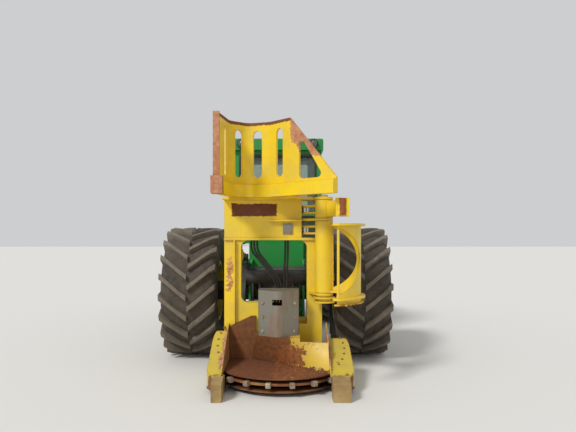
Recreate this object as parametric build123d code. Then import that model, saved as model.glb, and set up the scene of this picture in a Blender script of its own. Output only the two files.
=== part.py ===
from build123d import *
import os
from math import cos, hypot, radians, sin, sqrt, tan

# Wheeled feller buncher, in millimetres. It faces -Y, +X is on the right of someone who looks at its
# front, +Z is up. The origin is on the ground, at the middle of its length and width.

# Driving sizes of the carrier
TYRE_R = 915
TYRE_W = 780
RIM_R = 406
TRACK = 2370
WHEELBASE = 3200
COLUMN_TO_TOE = 1140
AXLE_TO_COLUMN = 1400
AXLE_TO_BUMPER = 1650

length = COLUMN_TO_TOE + AXLE_TO_COLUMN + WHEELBASE + AXLE_TO_BUMPER
toe_y = -length / 2
column_y = toe_y + COLUMN_TO_TOE
front_axle_y = column_y + AXLE_TO_COLUMN
hinge_y = front_axle_y + WHEELBASE / 2
rear_axle_y = front_axle_y + WHEELBASE
bumper_y = rear_axle_y + AXLE_TO_BUMPER

# Running clearances: pins in their bores, discs and levers beside plates
PIN_PLAY = 0.3
SIDE_PLAY = 0.5
FORK_T = 25
MOVING_GAP = 5

# Tyre lugs: bars from the middle of the tread to the shoulder, half a pitch apart on the two halves
LUGS = 20
LUG_HEIGHT = 62
LUG_DEPTH = 170
LUG_SWEEP = 330
LUG_ROOT = 72
LUG_END = 84
TYRE_SIDES = 20
SHOULDER_R = 715
SHOULDER_W = 45
BEAD_W = 640
RIM_LIP = 28

# Axles and wheels
AXLE_R = 140
AXLE_PAD_HALF = 155
AXLE_PAD_TOP = 150
DIFF_R = 205
HUB_R = 175
HUB_IN = 60
HUB_INNER_X = TRACK / 2 - HUB_IN
WHEEL_PIN_R = 90
WHEEL_PIN = 100
SHAFT_R = 55

# Main frame plates, shared by the front and the rear frame
PLATE_T = 30
FRONT_PLATE_X = 370
REAR_PLATE_X = 330
FRAME_LOW = 430
FRAME_TOP = 1130
HINGE_R = 120
HINGE_PIN_R = 60
HINGE_LUG_T = 45
HINGE_LOW = 560
HINGE_HIGH = 1060

# Boom: two arms outside the frame plates, from the tower's pins to the head's pins
ARM_X = (405, 535)
EAR_X = (540, 575)
BOOM_R = 95
BOOM_TIP_R = 85
BOOM_PIN_R = 45
COLUMN_DEPTH = 170
boom_pivot = (front_axle_y + 155, 1230)
boom_knee = (front_axle_y - 595, 1150)
head_pin = (column_y + COLUMN_DEPTH + BOOM_TIP_R + 20, 560)
boom_tube = (boom_knee[0] - 30, 1145)
CROSS_TUBE_R = 105
REAR_TUBE_R = 68

# Lift and tilt cylinders, in pairs: pins as (y, z), and how far each closes and opens from rest
lift_base = (front_axle_y - 175, 510)
lift_eye = (front_axle_y - 695, 800)
tilt_base = (front_axle_y - 105, 1400)
tilt_eye = (head_pin[0] + 10, 1480)
LIFT_X = 270
TILT_X = 470
LIFT_CLOSES = 0
TILT_CLOSES = 170

# Steering cylinders: pins as (x, y) on the right side
steer_base = (620, hinge_y - 720)
steer_eye = (300, hinge_y + 190)
STEER_Z = 760
STEER_CLOSES = 250

# Hydraulic cylinders: barrel and rod radius, width of the eyes, radius of the pins
RAM_SIZES = {
    "lift": (62, 32, 70, 32),
    "tilt": (58, 29, 64, 30),
    "steer": (46, 24, 52, 22),
    "arm": (42, 24, 56, 22),
}
EYE_WALL = 22
RAM_END = 20
ROD_SHOWN = 18
GLAND_LENGTH = 40
GLAND_LIP = 7
NECK = 30

# Cab
CAB_HALF = 690
CAB_FRONT_Y = front_axle_y + 595
CAB_DEPTH = 1040
CAB_FLOOR = 1590
CAB_TOP = 3060
CAB_WALL = 50
ROOF_T = 180
ROOF_OVER = 60
cab_rear_y = CAB_FRONT_Y + CAB_DEPTH
GLASS_T = 8
GLASS_LAP = 15
DOOR_FRONT_Y = CAB_FRONT_Y + 95
DOOR_W = 800
DOOR_GAP = 9
DOOR_HINGE_R = 16
DOOR_PIN_R = 8
DOOR_BELOW_ROOF = 80
DOOR_Z = (1640, CAB_TOP - DOOR_BELOW_ROOF)
DOOR_HINGES = (DOOR_Z[0] + 120, DOOR_Z[1] - 280)

# Hood and rear
HOOD_HALF = 560
HOOD_FRONT_Y = hinge_y + 620
HOOD_LOW = 1150
HOOD_FRONT_TOP = 2150
HOOD_REAR_TOP = 2020
HOOD_WALL = 15
BUMPER_HALF = 760
BUMPER_DEPTH = 190

# Felling head
COLUMN_LEFT = (-624, -417)
COLUMN_RIGHT = (395, 581)
SILL_Z = 900
FLANGE_Z = 1670
HEAD_TOP = 2190
HORN_TOP = 3100
BAND_TOP = 2345
HEAD_PLATE_T = 30
HORN_T = 22
BAND_T = 48
HUB_X = 598
HUB_AHEAD = 145
ARM_HUB_R = 108
ARM_PIN_R = 45
LEVER = 330
LEVER_REST = 133
hub = (HUB_X, column_y - HUB_AHEAD)
HARVEST_LEVER_Z = 1795
ACCUMULATOR_LEVER_Z = 2045
ARM_SEAT_Z = 1010
WINDOW_CORNER = 95
MOTOR_GAP_X = 290
LOW_SILL_Z = 640
COLUMN_RIB_X = (-505, -487)
PANEL_RIB_X = -72
PANEL_RIB_Z = 1900
PIN_FLANGES = (20, 70)
PANEL_END = 330
BACK_PLATE_Z = 700
ARM_RAM_X = -350
ARM_CLOSES = 0

# Saw
SAW_X = 80
SAW_AHEAD = 285
DISC_R = 700
DISC_T = 26
DISC_Z = 143
TEETH = 18
TOOTH = (60, 50, 58)
TOOTH_GAP = 27
HOUSING_WALL = 25
HOUSING_R = DISC_R + TOOTH[0] + TOOTH_GAP + HOUSING_WALL
PAN_Z = (50, 66)
DECK_Z = (200, 216)
PLATE_R = DISC_R + 30
POCKET_X = (-560, 620)
TOE_LEFT = (-640, -530)
TOE_RIGHT = (634, 820)
TOE_HEIGHT = 205
TOE_ROOT = 660
saw_y = column_y - SAW_AHEAD


def block(x, y, z):
    """Box between the two values of each of x, y and z."""
    size = (x[1] - x[0], y[1] - y[0], z[1] - z[0])
    return Pos((x[0] + x[1]) / 2, (y[0] + y[1]) / 2, (z[0] + z[1]) / 2) * Box(*size)


def bar_x(y, z, r, x0, x1):
    """Round bar along X."""
    return Pos((x0 + x1) / 2, y, z) * Rot(0, 90, 0) * Cylinder(r, x1 - x0)


def bar_y(x, z, r, y0, y1):
    """Round bar along Y."""
    return Pos(x, (y0 + y1) / 2, z) * Rot(90, 0, 0) * Cylinder(r, y1 - y0)


def bar_z(x, y, r, z0, z1):
    """Round bar along Z."""
    return Pos(x, y, (z0 + z1) / 2) * Cylinder(r, z1 - z0)


def outline(points, radius=0):
    """Face inside a closed outline of points, with its corners rounded."""
    if radius:
        return make_face(FilletPolyline(*points, radius=radius, close=True))
    return make_face(Polyline(*points, close=True))


def side_cut(points, x0, x1, radius=0):
    """Plate with a side view of (y, z) points, from x0 to x1."""
    return extrude(Plane.YZ.offset(x0) * outline(points, radius), amount=x1 - x0)


def plan_cut(points, z0, z1, radius=0):
    """Plate with a plan of (x, y) points, from z0 to z1."""
    return extrude(Plane.XY.offset(z0) * outline(points, radius), amount=z1 - z0)


def front_cut(points, y0, y1, radius=0):
    """Plate with a front view of (x, z) points, from y0 to y1."""
    return extrude(Plane.XZ.offset(-y0) * outline(points, radius), amount=-(y1 - y0))


def link(start, start_r, end, end_r):
    """Face of a link with two round ends."""
    ends = Pos(*start) * Circle(start_r) + Pos(*end) * Circle(end_r)
    return make_hull(ends.edges())


def both_sides(shape):
    """The shape and its mirror image on the other side of the machine."""
    return shape + mirror(shape, about=Plane.YZ)


def ram(kind, pin_distance, closes):
    """Barrel and rod along X from the base pin at the origin, with pins along Z."""
    barrel_r, rod_r, eye_w, pin_r = RAM_SIZES[kind]
    eye_r = pin_r + EYE_WALL
    gland = pin_distance - closes - eye_r - ROD_SHOWN
    blind = eye_r + NECK + RAM_END
    barrel = bar_z(0, 0, eye_r, -eye_w / 2, eye_w / 2)
    barrel += bar_x(0, 0, eye_w / 2 - 1, pin_r + 5, eye_r + NECK)
    barrel += bar_x(0, 0, barrel_r, eye_r + NECK, gland)
    barrel += bar_x(0, 0, barrel_r + GLAND_LIP, gland - GLAND_LENGTH, gland)
    barrel -= bar_z(0, 0, pin_r + PIN_PLAY, -barrel_r, barrel_r)
    barrel -= bar_x(0, 0, rod_r + PIN_PLAY, blind, pin_distance)
    rod = bar_x(0, 0, rod_r, blind + closes + MOVING_GAP, pin_distance)
    rod += bar_z(pin_distance, 0, eye_r, -eye_w / 2, eye_w / 2)
    return barrel, rod


def side_ram(kind, base, eye, x, closes):
    """Barrel and rod in a plane across X, between pins at (y, z)."""
    run = (eye[0] - base[0], eye[1] - base[1])
    seat = Plane(origin=(x, base[0], base[1]), x_dir=(0, run[0], run[1]), z_dir=(1, 0, 0))
    return [seat * piece for piece in ram(kind, hypot(*run), closes)]


def plan_ram(kind, base, eye, z, closes):
    """Barrel and rod lying flat at height z, between pins at (x, y)."""
    run = (eye[0] - base[0], eye[1] - base[1])
    seat = Plane(origin=(base[0], base[1], z), x_dir=(run[0], run[1], 0), z_dir=(0, 0, 1))
    return [seat * piece for piece in ram(kind, hypot(*run), closes)]


# Wheels
def flat_sided_ring(section, sides):
    """Ring round the X axis with flat sides, from a closed section of (x, radius) points."""
    corner = 1 / cos(radians(180 / sides))
    rings = []
    for side in range(sides):
        angle = radians(360 * (side + 0.5) / sides)
        rings.append([(x, -r * corner * sin(angle), r * corner * cos(angle)) for x, r in section])
    faces = []
    for near, far in zip(rings, rings[1:] + rings[:1]):
        for a in range(len(section)):
            b = (a + 1) % len(section)
            faces.append(Face(Wire.make_polygon([near[a], near[b], far[b], far[a]])))
    return Solid(Shell(faces))


def tyre():
    """Flotation tyre on the X axis with its bar lugs fused on."""
    carcass_r = TYRE_R - LUG_HEIGHT
    half = TYRE_W / 2
    bead = BEAD_W / 2
    section = [
        (-bead, RIM_R),
        (-bead, RIM_R + RIM_LIP + 2),
        (-half, SHOULDER_R),
        (-half + SHOULDER_W, carcass_r),
        (half - SHOULDER_W, carcass_r),
        (half, SHOULDER_R),
        (bead, RIM_R + RIM_LIP + 2),
        (bead, RIM_R),
    ]
    body = flat_sided_ring(section, TYRE_SIDES)
    inner, outer = -LUG_SWEEP / 2, LUG_SWEEP / 2
    tip = half - 4
    bar = [(6, inner), (tip, outer - LUG_END), (tip, outer), (6, inner + LUG_ROOT)]
    top = sqrt(TYRE_R**2 - (LUG_SWEEP / 2) ** 2)
    lug = extrude(Plane.XY.offset(top - LUG_DEPTH) * outline(bar), amount=LUG_DEPTH)
    lugs = []
    for turn in range(LUGS):
        angle = turn * 360 / LUGS
        lugs.append(Rot(angle, 0, 0) * lug)
        lugs.append(Rot(angle + 180 / LUGS, 0, 0) * mirror(lug, about=Plane.YZ))
    return body + lugs


def rim():
    """Dished rim with its hub, outside towards +X."""
    half = BEAD_W / 2
    profile = outline(
        [
            (-half - 25, RIM_R + RIM_LIP),
            (-half, RIM_R + RIM_LIP),
            (-half, RIM_R),
            (half, RIM_R),
            (half, RIM_R + RIM_LIP),
            (half + 25, RIM_R + RIM_LIP),
            (half + 25, RIM_R - 22),
            (half - 60, RIM_R - 22),
            (half - 90, RIM_R - 45),
            (60, RIM_R - 45),
            (30, HUB_R + 60),
            (60, HUB_R + 30),
            (60, HUB_R),
            (150, HUB_R - 30),
            (190, HUB_R - 60),
            (190, 0),
            (WHEEL_PIN - HUB_IN + MOVING_GAP, 0),
            (WHEEL_PIN - HUB_IN + MOVING_GAP, WHEEL_PIN_R + PIN_PLAY),
            (-HUB_IN, WHEEL_PIN_R + PIN_PLAY),
            (-HUB_IN, HUB_R),
            (0, HUB_R + 60),
            (10, RIM_R - 45),
            (-half + 60, RIM_R - 22),
            (-half - 25, RIM_R - 22),
        ]
    )
    return revolve(profile, Axis.X, 360)


def axle(y, nose):
    """Axle housing on X with its differential, and its shaft towards nose (+1 or -1)."""
    outer = HUB_INNER_X - MOVING_GAP
    housing = bar_x(y, TYRE_R, AXLE_R, -outer, outer)
    housing += bar_x(y, TYRE_R, WHEEL_PIN_R, -HUB_INNER_X - WHEEL_PIN, HUB_INNER_X + WHEEL_PIN)
    bulge = outline(
        [(-330, 0), (-330, AXLE_R), (-150, DIFF_R), (150, DIFF_R), (330, AXLE_R), (330, 0)]
    )
    housing += Pos(0, y, TYRE_R) * revolve(bulge, Axis.X, 360)
    nose_y = y + nose * (DIFF_R + 120)
    housing += bar_y(0, TYRE_R, 105, min(y, nose_y), max(y, nose_y))
    end_y = hinge_y - nose * 60
    housing += bar_y(0, TYRE_R, SHAFT_R, min(y, end_y), max(y, end_y))
    if nose > 0:
        housing += Pos(0, hinge_y, TYRE_R) * Sphere(SHAFT_R - 1)
        housing += bar_y(0, TYRE_R, SHAFT_R - 20, end_y, hinge_y)
    return housing


# Front frame
def front_frame():
    """Two side plates with the boom's ears, the tower, the nose and the hinge lugs."""
    y = front_axle_y
    notch = AXLE_PAD_HALF + MOVING_GAP
    seat_z = TYRE_R + AXLE_PAD_TOP
    side = side_cut(
        [
            (y - 290, FRAME_LOW),
            (y - 290, 700),
            (y - 245, 1000),
            (y - 175, 1110),
            (y - 30, 1110),
            (y + 15, 1150),
            (y + 25, 1300),
            (y + 75, 1350),
            (y + 395, 1350),
            (y + 395, CAB_FLOOR),
            (cab_rear_y - 120, CAB_FLOOR),
            (cab_rear_y - 120, 1180),
            (hinge_y - 330, FRAME_TOP),
            (hinge_y - 330, FRAME_LOW + 60),
            (y + 300, FRAME_LOW),
            (y + notch, FRAME_LOW),
            (y + notch, seat_z),
            (y - notch, seat_z),
            (y - notch, FRAME_LOW),
        ],
        FRONT_PLATE_X,
        FRONT_PLATE_X + PLATE_T,
    )
    ear_points = [
        (boom_pivot[0] - 130, boom_pivot[1] - 130),
        (boom_pivot[0] - 130, boom_pivot[1] + 130),
        (boom_pivot[0] + 330, boom_pivot[1] + 130),
        (boom_pivot[0] + 330, boom_pivot[1] - 130),
    ]
    side += side_cut(ear_points, EAR_X[0], EAR_X[1], 60)
    spacer_y = (boom_pivot[0] + 190, boom_pivot[0] + 330)
    spacer_z = (boom_pivot[1] - 120, boom_pivot[1] + 120)
    side += block((FRONT_PLATE_X, EAR_X[1]), spacer_y, spacer_z)
    side += bar_x(boom_pivot[0], boom_pivot[1], BOOM_PIN_R, FRONT_PLATE_X, EAR_X[1] + 20)
    frame = both_sides(side)
    inner = (-FRONT_PLATE_X, FRONT_PLATE_X)
    frame += block(inner, (y + 395, y + 420), (1200, CAB_FLOOR))
    frame += block(inner, (y + 395, cab_rear_y - 120), (CAB_FLOOR - 25, CAB_FLOOR))
    frame += block(inner, (y + 210, hinge_y - 330), (FRAME_LOW + 60, FRAME_LOW + 85))
    between_rams = LIFT_X - RAM_SIZES["lift"][0] - 20
    nose = block((-between_rams, between_rams), (y - 290, y - 265), (FRAME_LOW + 20, 640))
    frame += block(inner, (y - 290, y - 245), (FRAME_LOW, FRAME_LOW + 20))
    frame += block(inner, (hinge_y - 355, hinge_y - 330), (HINGE_LOW - 60, FRAME_TOP))
    frame -= bar_y(0, TYRE_R, SHAFT_R + 20, hinge_y - 360, hinge_y - 320)
    frame += bar_x(lift_base[0], lift_base[1], RAM_SIZES["lift"][3], inner[0], inner[1])
    for z in (HINGE_LOW, HINGE_HIGH):
        lug = link((0, hinge_y), HINGE_R, (0, hinge_y - 340), 260)
        lug = extrude(Plane.XY.offset(z - HINGE_LUG_T / 2) * lug, amount=HINGE_LUG_T)
        lug &= block(inner, (hinge_y - 340, hinge_y + HINGE_R), (z - HINGE_LUG_T, z + HINGE_LUG_T))
        frame += lug
        frame += bar_z(0, hinge_y, HINGE_PIN_R, z - 75, z + 75)
    fork = steer_fork(steer_base, (FRONT_PLATE_X + PLATE_T + 20, steer_base[1] - 30))
    reach = RAM_SIZES["steer"][2] / 2 + FORK_T
    pin = bar_z(*steer_base, RAM_SIZES["steer"][3], STEER_Z - reach, STEER_Z + reach)
    return Compound(children=[frame + both_sides(fork[0] + fork[1] + pin), nose])


def steer_fork(eye, root):
    """Fork plates beside the eye of the right steering cylinder, out from a frame plate at root."""
    half = RAM_SIZES["steer"][2] / 2 + SIDE_PLAY
    plate = link(eye, RAM_SIZES["steer"][3] + EYE_WALL, root, 60)
    levels = (STEER_Z - half - FORK_T, STEER_Z + half)
    return [extrude(Plane.XY.offset(z) * plate, amount=FORK_T) for z in levels]


nodes = {}


def build_wheels():
    """Four tyres and rims, with the rims' outsides facing out."""
    one_tyre = tyre()
    right_rim = rim()
    left_rim = mirror(right_rim, about=Plane.YZ)
    for end, y in (("front", front_axle_y), ("rear", rear_axle_y)):
        for side, x, one_rim in (("left", -TRACK / 2, left_rim), ("right", TRACK / 2, right_rim)):
            nodes[f"tyre_{end}_{side}"] = Pos(x, y, TYRE_R) * one_tyre
            nodes[f"rim_{end}_{side}"] = Pos(x, y, TYRE_R) * one_rim


def axle_pads(y):
    """Flat seats on an axle, under the frame plates."""
    pad = block((FRONT_PLATE_X - 60, FRONT_PLATE_X + PLATE_T + 20),
                (y - AXLE_PAD_HALF, y + AXLE_PAD_HALF), (TYRE_R, TYRE_R + AXLE_PAD_TOP))
    return both_sides(pad)


# Boom
def boom():
    """Two arms joined by two cross tubes, with the lugs of the lift and tilt cylinders."""
    arm = link(boom_pivot, BOOM_R, boom_knee, BOOM_R) + link(boom_knee, BOOM_R, head_pin, BOOM_TIP_R)
    arm -= Pos(*boom_pivot) * Circle(BOOM_PIN_R + PIN_PLAY)
    arm -= Pos(*head_pin) * Circle(BOOM_PIN_R + PIN_PLAY)
    arms = extrude(Plane.YZ.offset(ARM_X[0]) * arm, amount=ARM_X[1] - ARM_X[0])
    frame = both_sides(arms)
    frame += bar_x(*boom_tube, CROSS_TUBE_R, -ARM_X[0], ARM_X[0])
    rear_tube = (tilt_base[0], boom_pivot[1] - 30)
    frame += bar_x(rear_tube[0], rear_tube[1], REAR_TUBE_R, -ARM_X[0], ARM_X[0])
    lift_lugs = []
    for kind, eye, tube, x in (
        ("lift", lift_eye, boom_tube, LIFT_X),
        ("tilt", tilt_base, rear_tube, TILT_X),
    ):
        eye_w = RAM_SIZES[kind][2]
        pin_r = RAM_SIZES[kind][3]
        half = eye_w / 2 + SIDE_PLAY
        for near in (x - half - 22, x + half):
            lug = extrude(Plane.YZ.offset(near) * link(eye, pin_r + 25, tube, pin_r + 32), amount=22)
            if kind == "tilt":
                frame += both_sides(lug)
            else:
                lug -= bar_x(*boom_tube, CROSS_TUBE_R, 0, ARM_X[0])
                lift_lugs += [lug, mirror(lug, about=Plane.YZ)]
        if kind == "tilt":
            frame += both_sides(bar_x(eye[0], eye[1], pin_r, x - half - 10, x + half + 10))
    return Compound(children=[frame, *lift_lugs])


# Rear frame
def rear_frame():
    """Two side plates with hinge lugs, decks and the bumper's mounting."""
    y = rear_axle_y
    notch = AXLE_PAD_HALF + MOVING_GAP
    seat_z = TYRE_R + AXLE_PAD_TOP
    front = hinge_y + 330
    side = side_cut(
        [
            (front, 500),
            (front, FRAME_TOP),
            (bumper_y - BUMPER_DEPTH, FRAME_TOP),
            (bumper_y - BUMPER_DEPTH, 620),
            (y + 700, 560),
            (y + notch, 560),
            (y + notch, seat_z),
            (y - notch, seat_z),
            (y - notch, 500),
        ],
        REAR_PLATE_X,
        REAR_PLATE_X + PLATE_T,
    )
    frame = both_sides(side)
    inner = (-REAR_PLATE_X, REAR_PLATE_X)
    frame += block(inner, (front, front + 25), (500, FRAME_TOP))
    frame += block(inner, (bumper_y - BUMPER_DEPTH - 25, bumper_y - BUMPER_DEPTH), (620, FRAME_TOP))
    frame += block(inner, (y + 250, y + 275), (560, FRAME_TOP))
    deck = block((-HOOD_HALF, HOOD_HALF), (HOOD_FRONT_Y, bumper_y - BUMPER_DEPTH), (FRAME_TOP, HOOD_LOW))
    frame += deck
    for z, up in ((HINGE_LOW, -1), (HINGE_HIGH, 1)):
        centre = z + up * (HINGE_LUG_T + 5)
        lug = link((0, hinge_y), HINGE_R, (0, front + 10), 260)
        lug = extrude(Plane.XY.offset(centre - HINGE_LUG_T / 2) * lug, amount=HINGE_LUG_T)
        lug &= block(inner, (hinge_y - HINGE_R, front + 10), (centre - HINGE_LUG_T, centre + HINGE_LUG_T))
        lug -= bar_z(0, hinge_y, HINGE_PIN_R + PIN_PLAY, centre - 60, centre + 60)
        frame += lug
    frame -= bar_y(0, TYRE_R, SHAFT_R + 20, front - 5, front + 30)
    forks = []
    for plate in steer_fork(steer_eye, (steer_eye[0] - 40, front)):
        plate &= block((0, 500), (0, front), (0, FRAME_TOP))
        forks += [plate, mirror(plate, about=Plane.YZ)]
    return Compound(children=[frame, *forks])


# Cab
def cab_shell():
    """Hollow cab with its windows and its left doorway cut."""
    outer = side_cut(
        [
            (CAB_FRONT_Y, CAB_FLOOR),
            (CAB_FRONT_Y - 40, 2050),
            (CAB_FRONT_Y + 30, CAB_TOP),
            (cab_rear_y, CAB_TOP),
            (cab_rear_y, CAB_FLOOR),
        ],
        -CAB_HALF,
        CAB_HALF,
    )
    upright = outer.edges().filter_by(Axis.X).filter_by(lambda e: e.center().Z > CAB_FLOOR + 5)
    outer = fillet(upright.filter_by(lambda e: e.center().Z < CAB_TOP - 5), 20)
    inner = side_cut(
        [
            (CAB_FRONT_Y + CAB_WALL - 40 * CAB_WALL / (2050 - CAB_FLOOR), CAB_FLOOR + CAB_WALL),
            (CAB_FRONT_Y - 40 + CAB_WALL, 2050),
            (CAB_FRONT_Y + 30 + CAB_WALL + 70 * 10 / (CAB_TOP - 2050), CAB_TOP + 10),
            (cab_rear_y - CAB_WALL, CAB_TOP + 10),
            (cab_rear_y - CAB_WALL, CAB_FLOOR + CAB_WALL),
        ],
        -CAB_HALF + CAB_WALL,
        CAB_HALF - CAB_WALL,
    )
    shell = outer - inner
    for x, z in cab_front_panes():
        shell -= front_cut(corners(x, z), CAB_FRONT_Y - 200, CAB_FRONT_Y + 120, 40)
    shell -= front_cut(corners(*CAB_REAR_PANE), cab_rear_y - 100, cab_rear_y + 50, 60)
    shell -= side_cut(corners(*CAB_SIDE_PANE), CAB_HALF - 100, CAB_HALF + 50, 60)
    door = (DOOR_FRONT_Y - DOOR_GAP, DOOR_FRONT_Y + DOOR_W + DOOR_GAP)
    door_z = (DOOR_Z[0] - DOOR_GAP, DOOR_Z[1] + DOOR_GAP)
    shell -= block((-CAB_HALF - 50, -CAB_HALF + CAB_WALL + 1), door, door_z)
    return shell


def corners(across, up):
    """Four corners of an upright rectangle."""
    return [(across[0], up[0]), (across[1], up[0]), (across[1], up[1]), (across[0], up[1])]


def cab_front_panes():
    """Openings of the windscreen and of the pane under it, as x and z ranges."""
    edge = CAB_HALF - 90
    return [((-edge, edge), (2090, CAB_TOP - 80)), ((-edge, edge), (CAB_FLOOR + 90, 2010))]


CAB_REAR_PANE = ((-520, 520), (2150, CAB_TOP - 90))
CAB_SIDE_PANE = ((CAB_FRONT_Y + 100, cab_rear_y - 100), (2000, CAB_TOP - 90))


def cab_glass():
    """Panes bonded to the inside faces of the cab's walls."""
    lap = GLASS_LAP
    panes = []
    slopes = (((CAB_FRONT_Y - 40, 2050), (CAB_FRONT_Y + 30, CAB_TOP)),
              ((CAB_FRONT_Y, CAB_FLOOR), (CAB_FRONT_Y - 40, 2050)))
    for (x, z), (low, high) in zip(cab_front_panes(), slopes):
        lean = (high[0] - low[0]) / (high[1] - low[1])
        front = [low[0] + CAB_WALL + lean * (level - low[1]) for level in (z[0] - lap, z[1] + lap)]
        profile = [(front[0], z[0] - lap), (front[1], z[1] + lap),
                   (front[1] + GLASS_T, z[1] + lap), (front[0] + GLASS_T, z[0] - lap)]
        panes.append(side_cut(profile, x[0] - lap, x[1] + lap))
    (x, z) = CAB_REAR_PANE
    inside = cab_rear_y - CAB_WALL
    panes.append(block((x[0] - lap, x[1] + lap), (inside - GLASS_T, inside), (z[0] - lap, z[1] + lap)))
    (y, z) = CAB_SIDE_PANE
    inside = CAB_HALF - CAB_WALL
    panes.append(block((inside - GLASS_T, inside), (y[0] - lap, y[1] + lap), (z[0] - lap, z[1] + lap)))
    return Compound(children=panes)


def cab_roof():
    """Roof slab with rounded edges and a raised middle."""
    x = (-CAB_HALF - ROOF_OVER / 2, CAB_HALF + ROOF_OVER / 2)
    y = (CAB_FRONT_Y - ROOF_OVER, cab_rear_y + ROOF_OVER / 2)
    slab = block(x, y, (CAB_TOP, CAB_TOP + ROOF_T))
    slab = fillet(slab.edges().filter_by(Axis.Z), 60)
    return fillet(slab.faces().sort_by(Axis.Z)[-1].edges(), 25)


LAMP_R = 75
LAMP_DEPTH = 55
REAR_LAMP_R = 42


def lamp(x, y, z, face, r):
    """Round work lamp with its glass towards face (-1 or +1 on Y)."""
    deep = LAMP_DEPTH
    body = bar_y(x, z, r, min(y, y + face * deep), max(y, y + face * deep))
    body = chamfer(body.edges().group_by(Axis.Y)[0 if face > 0 else -1], 15)
    return body


def roof_lamps():
    """Work lamps under the front edge of the roof."""
    lamps = [lamp(x, CAB_FRONT_Y - ROOF_OVER, CAB_TOP + ROOF_T / 2, -1, LAMP_R) for x in (-560, 560)]
    return Compound(children=lamps)


def door():
    """Left door with its window, handle and hinge barrels."""
    x = (-CAB_HALF - 2, -CAB_HALF + CAB_WALL - 2)
    y = (DOOR_FRONT_Y, DOOR_FRONT_Y + DOOR_W)
    leaf = block(x, y, DOOR_Z)
    window = corners((y[0] + 80, y[1] - 80), (2020, DOOR_Z[1] - 80))
    leaf -= side_cut(window, x[0] - 10, x[1] + 10, 50)
    for z in DOOR_HINGES:
        leaf += bar_z(*door_hinge, DOOR_HINGE_R, z, z + 100)
        leaf += block((door_hinge[0], x[0] + 1), (door_hinge[1], y[0] + 40), (z, z + 100))
        leaf -= bar_z(*door_hinge, DOOR_PIN_R + PIN_PLAY, z, z + 90)
    leaf += block((x[0] - 45, x[0] - 30), (y[1] - 60, y[1] - 35), (1900, 2150))
    for z in (1900, 2135):
        leaf += block((x[0] - 45, x[0] + 5), (y[1] - 60, y[1] - 35), (z, z + 15))
    return leaf


door_hinge = (-CAB_HALF - 20, DOOR_FRONT_Y - DOOR_GAP / 2)


def door_hinge_mounts():
    """Knuckles on the cab's pillar, above and below the door's hinge barrels."""
    knuckles = None
    for z in DOOR_HINGES:
        low = (z - 60, z - 1)
        knuckle = bar_z(*door_hinge, DOOR_HINGE_R, *low)
        knuckle += block((door_hinge[0], -CAB_HALF), (door_hinge[1] - 60, door_hinge[1] - 4), low)
        knuckle += bar_z(*door_hinge, DOOR_PIN_R, low[0], z + 85)
        knuckles = knuckle if knuckles is None else knuckles + knuckle
    return knuckles


def door_glass():
    """Pane bonded to the inside of the door."""
    inside = -CAB_HALF + CAB_WALL - 2
    y = (DOOR_FRONT_Y + 80 - GLASS_LAP, DOOR_FRONT_Y + DOOR_W - 80 + GLASS_LAP)
    return block((inside, inside + GLASS_T), y, (2020 - GLASS_LAP, DOOR_Z[1] - 80 + GLASS_LAP))


SEAT_Y = CAB_FRONT_Y + 490
floor_top = CAB_FLOOR + CAB_WALL


def seat():
    """Operator's seat on its pedestal."""
    base = block((-190, 190), (SEAT_Y, SEAT_Y + 380), (floor_top, floor_top + 250))
    base = chamfer(base.edges().filter_by(Axis.Z), 40)
    cushion = block((-250, 250), (SEAT_Y - 80, SEAT_Y + 400), (floor_top + 250, floor_top + 370))
    cushion = fillet(cushion.edges().filter_by(Axis.X), 40)
    back = side_cut(
        [
            (SEAT_Y + 290, floor_top + 370),
            (SEAT_Y + 400, floor_top + 370),
            (SEAT_Y + 425, floor_top + 1010),
            (SEAT_Y + 345, floor_top + 1010),
        ],
        -240,
        240,
        30,
    )
    return base + cushion + back


def consoles():
    """Arm consoles beside the seat with their levers, and the pedals' box."""
    left = block((-400, -290), (SEAT_Y - 130, SEAT_Y + 300), (floor_top, floor_top + 520))
    left = fillet(left.edges().filter_by(Axis.X).group_by(Axis.Z)[-1], 40)
    left += bar_z(-345, SEAT_Y - 70, 14, floor_top + 515, floor_top + 680)
    left += Pos(-345, SEAT_Y - 70, floor_top + 690) * Sphere(32)
    return Compound(children=[left, mirror(left, about=Plane.YZ)])


def steps():
    """Entry platform and ladder on the left, between the wheels."""
    y = (CAB_FRONT_Y + 500, CAB_FRONT_Y + 830)
    x = (-CAB_HALF - 60, -FRONT_PLATE_X - PLATE_T)
    tread = block(x, y, (1240, 1270)) + block(x, y, (860, 890))
    tread += block((x[0], x[0] + 25), (y[0], y[0] + 25), (860, 1590))
    tread += block((x[0], x[0] + 25), (y[1] - 25, y[1]), (860, 1590))
    tread += block((x[0], -CAB_HALF + 120), y, (1565, 1590))
    return tread


# Hood and rear
def hood_profile(inset):
    """Side view of the hood, shrunk by inset except at its open bottom."""
    return [
        (HOOD_FRONT_Y + inset, HOOD_LOW),
        (HOOD_FRONT_Y + inset, HOOD_FRONT_TOP - inset),
        (bumper_y - 560, HOOD_FRONT_TOP - inset),
        (bumper_y - BUMPER_DEPTH - inset, HOOD_REAR_TOP - inset),
        (bumper_y - BUMPER_DEPTH - inset, HOOD_LOW),
    ]


SIDE_GRILLES = ((250, 900), (1000, 1650))
SIDE_GRILLE_Z = (1420, 1880)
REAR_DOOR_X = (-460, 460)
REAR_DOOR_Z = (HOOD_LOW + 60, HOOD_REAR_TOP - 110)
REAR_HINGES = (REAR_DOOR_Z[0] + 90, REAR_DOOR_Z[1] - 190)


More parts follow.
